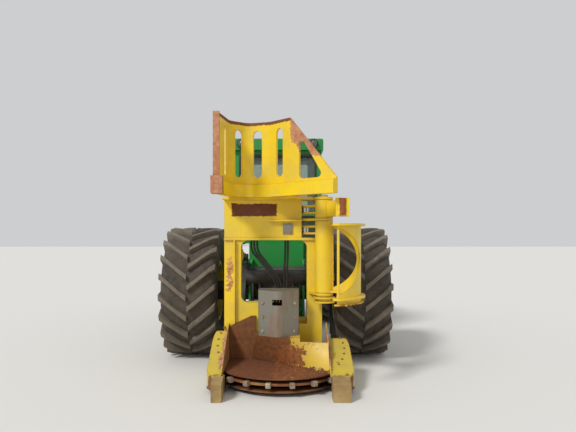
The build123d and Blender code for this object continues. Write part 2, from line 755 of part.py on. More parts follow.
def hood():
    """Open-bottomed engine cover with side and rear openings."""
    outer = side_cut(hood_profile(0), -HOOD_HALF, HOOD_HALF)
    long_edges = outer.edges().filter_by(lambda e: abs(e.center().Z - HOOD_FRONT_TOP) < 5)
    outer = fillet(long_edges.filter_by(lambda e: abs(e.center().X) > HOOD_HALF - 1), 60)
    cover = outer - side_cut(hood_profile(HOOD_WALL), -HOOD_HALF + HOOD_WALL, HOOD_HALF - HOOD_WALL)
    for start, end in SIDE_GRILLES:
        y = (HOOD_FRONT_Y + start, HOOD_FRONT_Y + end)
        for x0 in (-HOOD_HALF - 10, HOOD_HALF - HOOD_WALL - 10):
            cover -= side_cut(corners(y, SIDE_GRILLE_Z), x0, x0 + HOOD_WALL + 20, 25)
    rear = bumper_y - BUMPER_DEPTH
    gap = DOOR_GAP
    cover -= block((REAR_DOOR_X[0] - gap, REAR_DOOR_X[1] + gap), (rear - 100, rear + 10),
                   (REAR_DOOR_Z[0] - gap, REAR_DOOR_Z[1] + gap))
    return cover


SLAT_PITCH = 46


def slats(z_range):
    """Heights of the slats that fill a grille."""
    count = int((z_range[1] - z_range[0]) / SLAT_PITCH)
    step = (z_range[1] - z_range[0]) / count
    return [z_range[0] + step * (i + 0.5) for i in range(count)]


def side_grilles():
    """Louvre panels inside the hood's side openings."""
    panels = []
    for start, end in SIDE_GRILLES:
        y = (HOOD_FRONT_Y + start - 20, HOOD_FRONT_Y + end + 20)
        z = (SIDE_GRILLE_Z[0] - 20, SIDE_GRILLE_Z[1] + 20)
        x = (HOOD_HALF - HOOD_WALL - 25, HOOD_HALF - HOOD_WALL)
        panel = block(x, y, z) - block((x[0] - 5, x[1] + 5), (y[0] + 30, y[1] - 30), (z[0] + 30, z[1] - 30))
        for level in slats((z[0] + 30, z[1] - 30)):
            slat = [(x[0], level - 16), (x[0] + 5, level - 19), (x[1], level + 13), (x[1] - 5, level + 16)]
            panel += front_cut(slat, y[0] + 10, y[1] - 10)
        panels.append(panel)
    return Compound(children=[*panels, *(mirror(panel, about=Plane.YZ) for panel in panels)])


rear_hinge = (REAR_DOOR_X[0] - 20, bumper_y - BUMPER_DEPTH + 18)


def rear_door():
    """Slatted grille door over the radiator."""
    y = (bumper_y - BUMPER_DEPTH - 27, bumper_y - BUMPER_DEPTH + 3)
    frame = block(REAR_DOOR_X, y, REAR_DOOR_Z)
    hole_x = (REAR_DOOR_X[0] + 60, REAR_DOOR_X[1] - 60)
    hole_z = (REAR_DOOR_Z[0] + 60, REAR_DOOR_Z[1] - 60)
    frame -= block(hole_x, (y[0] - 5, y[1] + 5), hole_z)
    for level in slats(hole_z):
        slat = [(y[0], level - 16), (y[0] + 5, level - 20), (y[1], level + 12), (y[1] - 5, level + 16)]
        frame += side_cut(slat, hole_x[0] - 10, hole_x[1] + 10)
    for z in REAR_HINGES:
        frame += bar_z(*rear_hinge, DOOR_HINGE_R, z, z + 100)
        frame += block((rear_hinge[0], REAR_DOOR_X[0] + 40), (y[1] - 1, rear_hinge[1] + 10), (z, z + 100))
        frame -= bar_z(*rear_hinge, DOOR_PIN_R + PIN_PLAY, z, z + 90)
    return frame


def rear_hinge_mounts():
    """Knuckles on the hood beside the grille door's hinge barrels."""
    knuckles = None
    rear = bumper_y - BUMPER_DEPTH
    for z in REAR_HINGES:
        low = (z - 60, z - 1)
        knuckle = bar_z(*rear_hinge, DOOR_HINGE_R, *low)
        knuckle += block((rear_hinge[0] - 60, rear_hinge[0]), (rear - 1, rear_hinge[1] + 10), low)
        knuckle += bar_z(*rear_hinge, DOOR_PIN_R, low[0], z + 85)
        knuckles = knuckle if knuckles is None else knuckles + knuckle
    return knuckles


def bumper():
    """Cast counterweight across the tail."""
    weight = block((-BUMPER_HALF, BUMPER_HALF), (bumper_y - BUMPER_DEPTH, bumper_y), (600, FRAME_TOP))
    weight = fillet(weight.edges().filter_by(Axis.Z), 70)
    weight -= bar_z(0, bumper_y - 75, TOW_PIN_R, 780, FRAME_TOP + 1)
    weight -= block((-120, 120), (bumper_y - 130, bumper_y + 10), (850, 930))
    return weight


TOW_PIN_R = 25


def engine():
    """Engine as one block on the rear frame, clear of the hood."""
    block_z = (HOOD_LOW, 1820)
    return block((-330, 330), (HOOD_FRONT_Y + 450, HOOD_FRONT_Y + 1750), block_z)


def radiator():
    """Radiator core in front of the grille door."""
    y = bumper_y - BUMPER_DEPTH - 220
    return block((-430, 430), (y, y + 110), (HOOD_LOW, HOOD_REAR_TOP - 130))


def side_tanks():
    """Fuel and hydraulic tanks beside the hood, ahead of the rear wheels."""
    x = (REAR_PLATE_X + PLATE_T, 700)
    tank = block(x, (hinge_y + 450, rear_axle_y - 330), (640, FRAME_TOP))
    return tank


def exhaust():
    """Upright exhaust stack with a turned-out end."""
    x, y = 300, HOOD_FRONT_Y + 320
    path = FilletPolyline((x, y, HOOD_FRONT_TOP), (x, y, 2800), (x, y + 170, 2930), radius=80)
    stack = sweep(Plane.XY.offset(HOOD_FRONT_TOP) * (Pos(x, y) * (Circle(50) - Circle(44))), path)
    stack += bar_z(x, y, 85, HOOD_FRONT_TOP, HOOD_FRONT_TOP + 12) - bar_z(x, y, 44, HOOD_FRONT_TOP, 2200)
    stack += bar_z(x, y, 78, 2320, 2720) - bar_z(x, y, 44, 2300, 2740)
    return stack


def rear_lamps():
    """Lamps on the hood's rear corners."""
    y = bumper_y - BUMPER_DEPTH
    z = HOOD_REAR_TOP - 62
    return Compound(children=[lamp(x, y, z, 1, REAR_LAMP_R) for x in (-500, 500)])


# Felling head
def head_frame():
    """Columns, window plate, flanges, lugs behind and the pin of the two arms, as welded plates."""
    front = column_y
    back = column_y + COLUMN_DEPTH
    between = (COLUMN_LEFT[1], COLUMN_RIGHT[0])
    upper = (FLANGE_Z + HEAD_PLATE_T, HEAD_TOP - HEAD_PLATE_T)
    right_column = block(COLUMN_RIGHT, (front, back), (DECK_Z[1], FLANGE_Z))
    face = block(between, (front, front + 30), (DECK_Z[1], FLANGE_Z))
    face -= front_cut(corners(between, (SILL_Z, FLANGE_Z)), front - 10, front + 50, WINDOW_CORNER)
    face -= block((MOTOR_GAP_X, between[1]), (front - 10, front + 50), (LOW_SILL_Z, SILL_Z + 150))
    plates = [
        block(COLUMN_LEFT, (front, back), (DECK_Z[1], FLANGE_Z)),
        block(COLUMN_LEFT, (front, back), upper),
        right_column,
        *face.solids(),
        block(between, (back - 30, back), (DECK_Z[1], BACK_PLATE_Z)),
        block((between[0], MOTOR_GAP_X), (front + 30, back), (SILL_Z - 30, SILL_Z)),
        block((COLUMN_LEFT[0], COLUMN_RIGHT[1]), (front - 25, back), (FLANGE_Z, upper[0])),
        block((COLUMN_LEFT[1], PANEL_END), (front, front + 25), upper),
        block(COLUMN_RIB_X, (front - 55, front), (LOW_SILL_Z + 10, FLANGE_Z)),
        block((PANEL_RIB_X, PANEL_END), (front - 55, front), (PANEL_RIB_Z, PANEL_RIB_Z + 20)),
    ]
    for x in HOSE_BLOCK_X:
        plates.append(block((x - 60, x + 60), (back, back + 70), (HOSE_TOP, HOSE_TOP + 40)))
    roof = [(COLUMN_LEFT[0], back), (COLUMN_LEFT[0], HORN_PLAN[1][1]), *HORN_PLAN[1:5], (460, front - 200),
            (460, back)]
    mid_z = (HARVEST_LEVER_Z + ACCUMULATOR_LEVER_Z) / 2 - HEAD_PLATE_T / 2
    shelf = corners((150, 460), (front + 25, back))
    for plan, root, z in (
        (outline(shelf), (450, front + 40, 110), mid_z),
        (outline(roof), (450, front + 40, 110), HEAD_TOP - HEAD_PLATE_T),
        (None, (490, front + 60, 90), ARM_SEAT_Z),
    ):
        lug = link(root[:2], root[2], hub, ARM_HUB_R)
        lug = extrude(Plane.XY.offset(z) * (lug if plan is None else lug + plan), amount=HEAD_PLATE_T)
        plates.append(lug - bar_z(*hub, ARM_PIN_R, z - 1, z + HEAD_PLATE_T + 1) - right_column)
    plates.append(bar_z(*hub, ARM_PIN_R, ARM_SEAT_Z, HEAD_TOP + 20))
    foot = bar_z(*hub, ARM_HUB_R - 20, ARM_SEAT_Z - max(PIN_FLANGES), ARM_SEAT_Z)
    for z in PIN_FLANGES:
        foot += bar_z(*hub, ARM_HUB_R + 22, ARM_SEAT_Z - z - 18, ARM_SEAT_Z - z)
    plates.append(foot)
    return Compound(children=[*plates, *boom_ears(back), *tilt_ears(back), *ram_ears(front + 25)])


def boom_ears(back):
    """Pairs of ears with the pins that the boom's arms turn on."""
    pair = bar_x(*head_pin, BOOM_PIN_R, ARM_X[0] - 45, ARM_X[1] + 45)
    for x in (ARM_X[0] - 35, ARM_X[1] + MOVING_GAP):
        pair += extrude(Plane.YZ.offset(x) * link(head_pin, 85, (back, head_pin[1]), 120), amount=30)
    pair &= block((0, 900), (back, head_pin[0] + 200), (0, 2000))
    return [pair, mirror(pair, about=Plane.YZ)]


def tilt_ears(back):
    """Ears beside the eyes of the tilt cylinders' rods."""
    half = RAM_SIZES["tilt"][2] / 2 + SIDE_PLAY
    ears = []
    for x in (TILT_X - half - FORK_T, TILT_X + half):
        ear = extrude(Plane.YZ.offset(x) * link(tilt_eye, 55, (back, tilt_eye[1]), 80), amount=FORK_T)
        ear &= block((0, 900), (back, tilt_eye[0] + 200), (0, 2000))
        ears += [ear, mirror(ear, about=Plane.YZ)]
    return ears


def ram_ears(seat_y):
    """Pairs of ears with the pins of the two arm cylinders, behind the head's back panel."""
    half = RAM_SIZES["arm"][2] / 2 + SIDE_PLAY
    pairs = []
    for level in (HARVEST_LEVER_Z, ACCUMULATOR_LEVER_Z):
        pair = bar_z(ARM_RAM_X, arm_ram_y, RAM_SIZES["arm"][3], level - half - 15, level + half + 15)
        for z in (level - half - 22, level + half):
            ear = link((ARM_RAM_X, arm_ram_y), 46, (ARM_RAM_X, seat_y), 60)
            pair += extrude(Plane.XY.offset(z) * ear, amount=22)
        pairs.append(pair & block((-600, 600), (seat_y, seat_y + 400), (0, 3000)))
    return pairs


HOSE_R = 13
HOSE_BLOCK_X = (-265, 145)
HOSE_TOP = 1690
HOSE_SILL_Z = 985
HEAD_HOSES = [
    # x at the block behind the head, x at the saw motor
    (-303, 8),
    (-265, 42),
    (-227, 76),
    (128, 110),
    (162, 144),
]


def hose(points, r):
    """Round hose along straight runs joined by arcs."""
    radii = []
    for a, b, c in zip(points, points[1:], points[2:]):
        before, after = Vector(*b) - Vector(*a), Vector(*c) - Vector(*b)
        shorter = min(before.length, after.length)
        radii.append(0.45 * shorter / tan(radians(before.get_angle(after) / 2)))
    path = FilletPolyline(*points, radius=radii)
    return sweep(Plane(origin=path @ 0, z_dir=path % 0) * Circle(r), path)


def head_hoses():
    """Hoses from the blocks behind the head down through its window to the saw motor."""
    y = column_y + COLUMN_DEPTH + 35
    motor_y = saw_y + MOTOR_BACK
    hoses = []
    for top_x, x in HEAD_HOSES:
        bend_x = top_x + 0.55 * (x - top_x)
        points = [(top_x, y, HOSE_TOP), (top_x, y, 1530), (bend_x, y, 1330), (x, y, 1130), (x, y, HOSE_SILL_Z),
                  (x, column_y - 10, HOSE_SILL_Z + 20), (x, motor_y, HOSE_SILL_Z),
                  (x, motor_y, COVER_Z[0] + MOTOR_HEIGHT)]
        hoses.append(hose(points, HOSE_R))
    return Compound(children=hoses)


lever_eye = (HUB_X + LEVER * cos(radians(LEVER_REST)), hub[1] + LEVER * sin(radians(LEVER_REST)))
arm_ram_y = lever_eye[1]


HORN_PLAN = [
    (-615, column_y - 765),
    (-535, column_y - 235),
    (-330, column_y - 45),
    (-60, column_y - 135),
    (183, column_y - 410),
    (682, column_y - 900),
]
HORN_BENDS = [160, 130, 220, 120]
SLOTS = [
    # panel, share of its length, width
    (0, 0.62, 88),
    (1, 0.50, 105),
    (2, 0.45, 110),
    (3, 0.50, 115),
]
SLOT_Z = (2430, HORN_TOP - 100)
WING_WINDOW = [(150, 2380), (150, HORN_TOP - 200), (520, 2380)]


def along(panel, reach):
    """Plane on a panel of the horn: x along it from its first end, y up, z out to the front."""
    start, end = HORN_PLAN[panel], HORN_PLAN[panel + 1]
    run = (end[0] - start[0], end[1] - start[1])
    size = hypot(*run)
    step = (run[0] / size, run[1] / size)
    origin = (start[0] + step[0] * reach * size, start[1] + step[1] * reach * size, 0)
    return Plane(origin=origin, x_dir=(step[0], step[1], 0), z_dir=(step[1], -step[0], 0))


def folded(thickness, side, z0, z1):
    """Wall that follows the horn's plan, on one side of its line."""
    path = FilletPolyline(*HORN_PLAN, radius=HORN_BENDS)
    wall = make_face(offset(path, amount=thickness, side=side, closed=True))
    return extrude(Plane.XY.offset(z0) * wall, amount=z1 - z0)


def horn():
    """Slotted gathering plate, folded in plan, with its band, edge post and nose block."""
    plate = folded(HORN_T, Side.LEFT, HEAD_TOP, HORN_TOP)
    for panel, share, width in SLOTS:
        middle = (SLOT_Z[0] + SLOT_Z[1]) / 2
        hole = Pos(0, middle) * SlotOverall(SLOT_Z[1] - SLOT_Z[0], width, rotation=90)
        plate -= extrude(along(panel, share) * hole, amount=90, both=True)
    wing = along(4, 0)
    wing_length = hypot(HORN_PLAN[5][0] - HORN_PLAN[4][0], HORN_PLAN[5][1] - HORN_PLAN[4][1])
    corner = outline([(0, HORN_TOP), (wing_length + 80, BAND_TOP - 60), (wing_length + 80, HORN_TOP + 50),
                      (0, HORN_TOP + 50)])
    plate -= extrude(wing * corner, amount=120, both=True)
    plate -= extrude(wing * outline(WING_WINDOW, 45), amount=90, both=True)
    plate += folded(BAND_T, Side.RIGHT, HEAD_TOP, BAND_TOP)
    x, y = HORN_PLAN[0]
    plate += block((x - 48, x + 22), (y - 20, y + 25), (HEAD_TOP, HORN_TOP))
    plate += block((x - 60, x + 65), (y - 135, y + 60), (HEAD_TOP, HEAD_TOP + 190))
    return plate


def housing_face(radius, inner=False):
    """Plan of the saw housing or of the room for the disc inside it."""
    face = Pos(SAW_X, saw_y) * Circle(radius)
    if inner:
        return face
    front = saw_y - TOE_ROOT
    side = HOUSING_R
    return face + outline(
        [
            (SAW_X - side, saw_y),
            (SAW_X - side, front + 180),
            (TOE_LEFT[0], front),
            (TOE_LEFT[1], front),
            (POCKET_X[0] + 150, front + 240),
            (SAW_X, saw_y),
            (POCKET_X[1] - 150, front + 240),
            (TOE_RIGHT[0], front),
            (TOE_RIGHT[1], front),
            (SAW_X + side, front + 180),
            (SAW_X + side, saw_y),
        ]
    )


def saw_housing():
    """Low housing round the disc, with side walls of the pocket and sloped side decks."""
    room = housing_face(HOUSING_R - HOUSING_WALL, True)
    rim = Plane.XY.offset(PAN_Z[0]) * (housing_face(HOUSING_R) - room)
    shell = extrude(rim, amount=DECK_Z[0] - PAN_Z[0])
    mouth = (TOE_LEFT[1], TOE_RIGHT[0])
    shell -= block(mouth, (saw_y - HOUSING_R - 10, saw_y - 250), (PAN_Z[0] - 1, DECK_Z[0]))
    pan = housing_face(HOUSING_R) - outline(corners(mouth, (saw_y - HOUSING_R - 10, saw_y)))
    pan += Pos(SAW_X, saw_y) * Circle(DISC_R - 15)
    shell += extrude(Plane.XY.offset(PAN_Z[0]) * pan, amount=PAN_Z[1] - PAN_Z[0])
    top = extrude(Plane.XY.offset(DECK_Z[0]) * housing_face(HOUSING_R), amount=DECK_Z[1] - DECK_Z[0])
    pocket = block(POCKET_X, (saw_y - 1000, column_y), (DECK_Z[0] - 1, DECK_Z[1] + 1))
    shell += top - pocket
    deck_front = saw_y - 560
    deck_back = column_y - 40
    shape = extrude(Plane.XY.offset(DECK_Z[1]) * housing_face(HOUSING_R), amount=600)
    for x, high in (((SAW_X - HOUSING_R, POCKET_X[0]), 560), ((POCKET_X[1], SAW_X + HOUSING_R), 470)):
        wedge = side_cut([(deck_front, DECK_Z[1]), (deck_back, DECK_Z[1]), (deck_back, high),
                          (deck_back - 60, high)], x[0], x[1])
        shell += wedge & shape
    wall = [(saw_y - 560, DECK_Z[0]), (saw_y - 550, 235), (column_y - 395, 490), (column_y - 60, 640),
            (column_y, 650), (column_y, DECK_Z[0])]
    for x in ((POCKET_X[0] - 18, POCKET_X[0]), (POCKET_X[1], POCKET_X[1] + 18)):
        shell += side_cut(wall, *x)
    return shell


def butt_plate():
    """Plate over the disc, with the ridged pedestal under the motor cover."""
    face = Pos(SAW_X, saw_y) * Circle(PLATE_R)
    face &= Pos((POCKET_X[0] + POCKET_X[1]) / 2, column_y) * Rectangle(
        POCKET_X[1] - POCKET_X[0], 2400, align=(Align.CENTER, Align.MAX))
    plate = extrude(Plane.XY.offset(DECK_Z[0]) * face, amount=DECK_Z[1] - DECK_Z[0])
    y = column_y
    low = [(-283, y), (-283, y - 45), (162, y - 370), (300, y - 489), (300, y)]
    high = [(-283, y), (-215, y - 262), (45, y - 432), (300, y - 484), (300, y)]
    plate += between(low, high, COVER_Z[0])
    low = [(290, y - 480), (POCKET_X[1], y - 765), (POCKET_X[1], y - 735), (290, y - 450)]
    high = [(290, y - 482), (POCKET_X[1], y - 550), (POCKET_X[1], y - 520), (290, y - 452)]
    plate += between(low, high, COVER_Z[0] - 40)
    back_wall = [(POCKET_X[0], DECK_Z[0]), (POCKET_X[0], 610), (-290, 740), (-235, 740), (-235, DECK_Z[0])]
    plate += front_cut(back_wall, y - 40, y)
    plate -= bar_z(SAW_X, saw_y, SPINDLE_R + PIN_PLAY, DECK_Z[0] - 1, DECK_Z[1] + MOVING_GAP)
    return plate


def between(low, high, top):
    """Straight-sided block from a plan on the plate over the disc to another one at a height."""
    plans = [Plane.XY.offset(DECK_Z[1]) * outline(low), Plane.XY.offset(top) * outline(high)]
    return loft(plans, ruled=True)


COVER_Z = (545, 1080)
SPINDLE_R = 40
COVER_T = 12
MOTOR_BACK = 60
MOTOR_HEIGHT = 330


def motor_cover():
    """Bent steel cover over the saw motor, with a flat cap and a lifting slot."""
    y = column_y
    points = [(-180, y), (-180, y - 260), (50, y - 415), (280, y - 260), (280, y)]
    path = FilletPolyline(*points, radius=[25, 90, 25])
    wall = make_face(offset(path, amount=COVER_T, side=Side.RIGHT, closed=True))
    cover = extrude(Plane.XY.offset(COVER_Z[0]) * wall, amount=COVER_Z[1] - COVER_Z[0] - COVER_T)
    cap = make_face(Curve() + [path, Line(points[-1], points[0])]) + wall
    cover += extrude(Plane.XY.offset(COVER_Z[1] - COVER_T) * cap, amount=COVER_T)
    return cover - block((-23, 93), (y - 430, y - 340), (913, 980))


def saw_motor():
    """Motor standing on the pedestal, above the disc's spindle."""
    return bar_z(SAW_X, saw_y + MOTOR_BACK, 95, COVER_Z[0], COVER_Z[0] + MOTOR_HEIGHT)


def toes():
    """Box-section toes that the head stands on, each from its tip to the housing."""
    housing = extrude(housing_face(HOUSING_R), amount=TOE_HEIGHT + 50)
    pieces = []
    for x in (TOE_LEFT, TOE_RIGHT):
        y = (toe_y, saw_y - TOE_ROOT)
        side = [(y[0], 0), (y[0], TOE_HEIGHT - 20), (y[0] + 30, TOE_HEIGHT), (y[1], TOE_HEIGHT + 25),
                (y[1], 0)]
        pieces.append(side_cut(side, *x) - housing)
    return Compound(children=pieces)


def saw_disc():
    """Disc on its hub and spindle."""
    disc = bar_z(SAW_X, saw_y, DISC_R, DISC_Z - DISC_T / 2, DISC_Z + DISC_T / 2)
    disc += bar_z(SAW_X, saw_y, 150, DISC_Z - 40, DECK_Z[0] - MOVING_GAP)
    disc += bar_z(SAW_X, saw_y, SPINDLE_R, DECK_Z[0] - 20, DECK_Z[1])
    for turn in range(6):
        angle = radians(turn * 60 + 30)
        disc -= bar_z(SAW_X + 430 * cos(angle), saw_y + 430 * sin(angle), 70, 0, 300)
    return disc


def saw_teeth():
    """Square tooth holders on the disc's rim."""
    long, wide, high = TOOTH
    holder = Pos(DISC_R + long / 2, 0, DISC_Z) * Box(long, wide, high)
    holder = chamfer(holder.edges().filter_by(Axis.Y).group_by(Axis.X)[-1], 12)
    teeth = [Pos(SAW_X, saw_y, 0) * (Rot(0, 0, turn * 360 / TEETH) * holder) for turn in range(TEETH)]
    return Compound(children=teeth)


HARVEST_Z = (1045, 1900)
ACCUMULATOR_Z = (1940, 2155)
CLAW_Z = (985, 1862)
CLAW_WINDOW_Z = (1110, 1815)
CLAW_WINDOW_EDGE = (HUB_X + 352, 1400)
CLAW_LOBE_T = 16


def lever(level):
    """Fork lever behind the arms' pin, open round the eye of its cylinder."""
    half = RAM_SIZES["arm"][2] / 2 + SIDE_PLAY
    plate = link(hub, 95, lever_eye, 50) - Pos(*hub) * Circle(ARM_HUB_R)
    levels = (level - half - FORK_T, level + half)
    return [extrude(Plane.XY.offset(z) * plate, amount=FORK_T) for z in levels]


def hub_tube(z):
    """Round hub on the arms' pin."""
    return bar_z(*hub, ARM_HUB_R, *z)


def hub_bore(z):
    """Bore for the arms' pin."""
    return bar_z(*hub, ARM_PIN_R + PIN_PLAY, z[0] - 1, z[1] + 1)


def claw_path():
    """Middle line of the claw in plan, from the hub out and back in to the tip."""
    start = (HUB_X + 60, hub[1] - 20)
    return ThreePointArc(start, (HUB_X + 370, hub[1] - 430), (HUB_X + 95, hub[1] - 870))


def harvest_arm():
    """Tall hub with a curved claw between a top and a bottom plate."""
    z = HARVEST_Z
    arm = hub_tube(z)
    web = make_face(offset(claw_path(), amount=14, side=Side.BOTH))
    web = extrude(Plane.XY.offset(CLAW_Z[0]) * web, amount=CLAW_Z[1] - CLAW_Z[0])
    arm += web
    rib = make_face(offset(claw_path(), amount=62, side=Side.BOTH))
    bottom = extrude(Plane.XY.offset(z[0]) * rib, amount=25)
    x, y = HUB_X + ARM_HUB_R, hub[1]
    opening = ThreePointArc((x, CLAW_WINDOW_Z[1]), CLAW_WINDOW_EDGE, (x, CLAW_WINDOW_Z[0]))
    opening = make_face(Curve() + [opening, Line(opening @ 1, opening @ 0)])
    arm -= extrude(Plane.XZ.offset(-y) * opening, amount=1000)
    lobe = make_face(offset(claw_path(), amount=45, side=Side.BOTH))
    lobe &= Pos(HUB_X, y - 700) * Rectangle(1000, 900)
    arm += extrude(Plane.XY.offset(CLAW_Z[0]) * lobe, amount=CLAW_LOBE_T)
    arm += extrude(Plane.XY.offset(CLAW_Z[1] - 25) * rib, amount=25)
    arm += bottom
    arm -= bar_z(*hub, 160, CLAW_Z[0] - 1, z[0])
    return Compound(children=[arm - hub_bore(z), *lever(HARVEST_LEVER_Z)])


def accumulator_arm():
    """Short box-section arm with a square end plate."""
    z = ACCUMULATOR_Z
    arm = hub_tube(z)
    path = ThreePointArc((HUB_X + 30, hub[1] - 30), (HUB_X + 190, hub[1] - 330), (HUB_X + 160, hub[1] - 640))
    box = make_face(offset(path, amount=55, side=Side.BOTH))
    arm += extrude(Plane.XY.offset(z[0] + 15) * box, amount=z[1] - z[0] - 30)
    tip = (HUB_X + 160, hub[1] - 640)
    arm += block((tip[0] - 75, tip[0] + 75), (tip[1] - 25, tip[1] + 10), (z[0], z[1] - 10))
    return Compound(children=[arm - hub_bore(z), *lever(ACCUMULATOR_LEVER_Z)])


def add_rams():
    """Every hydraulic cylinder, as a barrel node and a rod node."""
    for name, kind, base, eye, x, closes in (
        ("lift", "lift", lift_base, lift_eye, LIFT_X, LIFT_CLOSES),
        ("tilt", "tilt", tilt_base, tilt_eye, TILT_X, TILT_CLOSES),
    ):
        barrel, rod = side_ram(kind, base, eye, x, closes)
        nodes[f"{name}_barrels"] = Compound(children=[barrel, mirror(barrel, about=Plane.YZ)])
        nodes[f"{name}_rods"] = Compound(children=[rod, mirror(rod, about=Plane.YZ)])
    barrel, rod = plan_ram("steer", steer_base, steer_eye, STEER_Z, STEER_CLOSES)
    nodes["steer_barrel_right"] = barrel
    nodes["steer_rod_right"] = rod
    nodes["steer_barrel_left"] = mirror(barrel, about=Plane.YZ)
    nodes["steer_rod_left"] = mirror(rod, about=Plane.YZ)
    for name, level in (("harvest", HARVEST_LEVER_Z), ("accumulator", ACCUMULATOR_LEVER_Z)):
        barrel, rod = plan_ram("arm", (ARM_RAM_X, arm_ram_y), lever_eye, level, ARM_CLOSES)
        nodes[f"{name}_barrel"] = barrel
        nodes[f"{name}_rod"] = rod


nodes["front_frame"] = front_frame()
nodes["front_axle"] = axle(front_axle_y, 1) + axle_pads(front_axle_y)
nodes["boom"] = boom()
nodes["rear_frame"] = rear_frame()
nodes["rear_axle"] = axle(rear_axle_y, -1) + axle_pads(rear_axle_y)
build_wheels()
nodes["cab_shell"] = cab_shell() + door_hinge_mounts()
nodes["cab_glass"] = cab_glass()
nodes["cab_roof"] = cab_roof()
nodes["roof_lamps"] = roof_lamps()
nodes["cab_door"] = door()
nodes["door_glass"] = door_glass()
nodes["seat"] = seat()
nodes["consoles"] = consoles()
nodes["steps"] = steps()
nodes["hood"] = hood() + rear_hinge_mounts()
nodes["side_grilles"] = side_grilles()
nodes["rear_door"] = rear_door()
nodes["bumper"] = bumper()
nodes["engine"] = engine()
nodes["radiator"] = radiator()
nodes["side_tanks"] = Compound(children=[side_tanks(), mirror(side_tanks(), about=Plane.YZ)])
nodes["exhaust"] = exhaust()
nodes["rear_lamps"] = rear_lamps()
nodes["head_frame"] = head_frame()
nodes["head_hoses"] = head_hoses()
nodes["gathering_horn"] = horn()
nodes["saw_housing"] = saw_housing()
nodes["butt_plate"] = butt_plate()
nodes["motor_cover"] = motor_cover()
nodes["saw_motor"] = saw_motor()
nodes["toes"] = toes()
nodes["saw_disc"] = saw_disc()
nodes["saw_teeth"] = saw_teeth()
nodes["harvest_arm"] = harvest_arm()
nodes["accumulator_arm"] = accumulator_arm()
add_rams()

os.makedirs("parts", exist_ok=True)
for name, shape in nodes.items():
    export_step(shape, f"parts/{name}.step")
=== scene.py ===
from math import cos, pi, radians, sin

import bpy
from mathutils import Matrix, Vector


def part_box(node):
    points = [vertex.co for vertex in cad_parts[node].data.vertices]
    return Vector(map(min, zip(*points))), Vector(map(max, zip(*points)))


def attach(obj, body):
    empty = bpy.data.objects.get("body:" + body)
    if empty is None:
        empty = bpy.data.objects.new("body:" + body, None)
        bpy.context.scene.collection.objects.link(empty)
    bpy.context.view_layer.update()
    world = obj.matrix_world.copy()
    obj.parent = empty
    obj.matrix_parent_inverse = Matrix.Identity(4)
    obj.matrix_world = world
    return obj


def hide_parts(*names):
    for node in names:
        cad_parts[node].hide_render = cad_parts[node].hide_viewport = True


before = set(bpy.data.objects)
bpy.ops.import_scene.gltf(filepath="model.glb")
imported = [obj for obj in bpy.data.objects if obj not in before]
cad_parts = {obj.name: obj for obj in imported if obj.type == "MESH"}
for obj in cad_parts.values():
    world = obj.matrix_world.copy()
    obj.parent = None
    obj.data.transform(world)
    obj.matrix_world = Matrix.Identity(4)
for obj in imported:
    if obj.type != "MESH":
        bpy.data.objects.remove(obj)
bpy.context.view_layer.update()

# The photograph's lens is as long as its picture is wide, and its level edges meet under the middle
PHOTO_WIDTH = 576
HORIZON_BELOW_MIDDLE = 16
CAMERA_HEIGHT = 1.77
CAMERA_X = 0.162
CAMERA_TO_FRONT_AXLE = 8.5


def middle_of(node):
    """Middle of a CAD node's box."""
    low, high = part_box(node)
    return [(a + b) / 2 for a, b in zip(low, high)]


def only(*pieces):
    """Leave edit mode with these pieces selected and nothing else, the first one active."""
    if bpy.context.object and bpy.context.object.mode != "OBJECT":
        bpy.ops.object.mode_set(mode="OBJECT")
    bpy.ops.object.select_all(action="DESELECT")
    for piece in pieces:
        piece.select_set(True)
    bpy.context.view_layer.objects.active = pieces[0]


def finished(piece, name, material, body):
    """Place a piece's shape in its mesh, name it, and give it its material and body."""
    only(piece)
    bpy.ops.object.transform_apply(location=True, rotation=True, scale=True)
    piece.name = name
    piece.data.name = name
    piece.data.materials.clear()
    piece.data.materials.append(material)
    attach(piece, body)
    return piece


def joined(pieces):
    """One object from several."""
    only(*pieces)
    bpy.ops.object.join()
    return pieces[0]


def twin_of(piece):
    """Copy of a piece with a mesh of its own."""
    twin = piece.copy()
    twin.data = piece.data.copy()
    bpy.context.collection.objects.link(twin)
    return twin


def copies(master, places):
    """Copies of one piece, each with its own mesh, its Z turned to a direction, joined as one."""
    made = []
    for point, facing in places:
        twin = twin_of(master)
        turn = Vector(facing).to_track_quat("Z", "Y").to_matrix().to_4x4()
        twin.matrix_world = Matrix.Translation(point) @ turn
        made.append(twin)
    bpy.data.objects.remove(master)
    only(*made)
    bpy.ops.object.transform_apply(location=True, rotation=True, scale=True)
    return joined(made)


def finish_with(piece, kind, **settings):
    """Add a modifier and apply it."""
    only(piece)
    modifier = piece.modifiers.new(kind.title(), kind)
    for setting, value in settings.items():
        setattr(modifier, setting, value)
    bpy.ops.object.modifier_apply(modifier=modifier.name)


def pick_faces(piece, test):
    """In edit mode, with only the faces that pass a test selected."""
    bpy.ops.object.mode_set(mode="EDIT")
    bpy.ops.mesh.select_mode(type="FACE")
    bpy.ops.mesh.select_all(action="DESELECT")
    bpy.ops.object.mode_set(mode="OBJECT")
    for face in piece.data.polygons:
        face.select = test(face)
    bpy.ops.object.mode_set(mode="EDIT")


def smooth(piece, angle=35):
    """Smooth shading with sharp edges kept."""
    only(piece)
    bpy.ops.object.shade_smooth_by_angle(angle=radians(angle))


# Materials. A grain finer than a few millimetres wouldn't show, so each is drawn coarser than it is.


def colour(code):
    """Linear colour of an sRGB hex value."""
    parts = [int(code[i:i + 2], 16) / 255 for i in (1, 3, 5)]
    return [p / 12.92 if p <= 0.04045 else ((p + 0.055) / 1.055) ** 2.4 for p in parts] + [1]


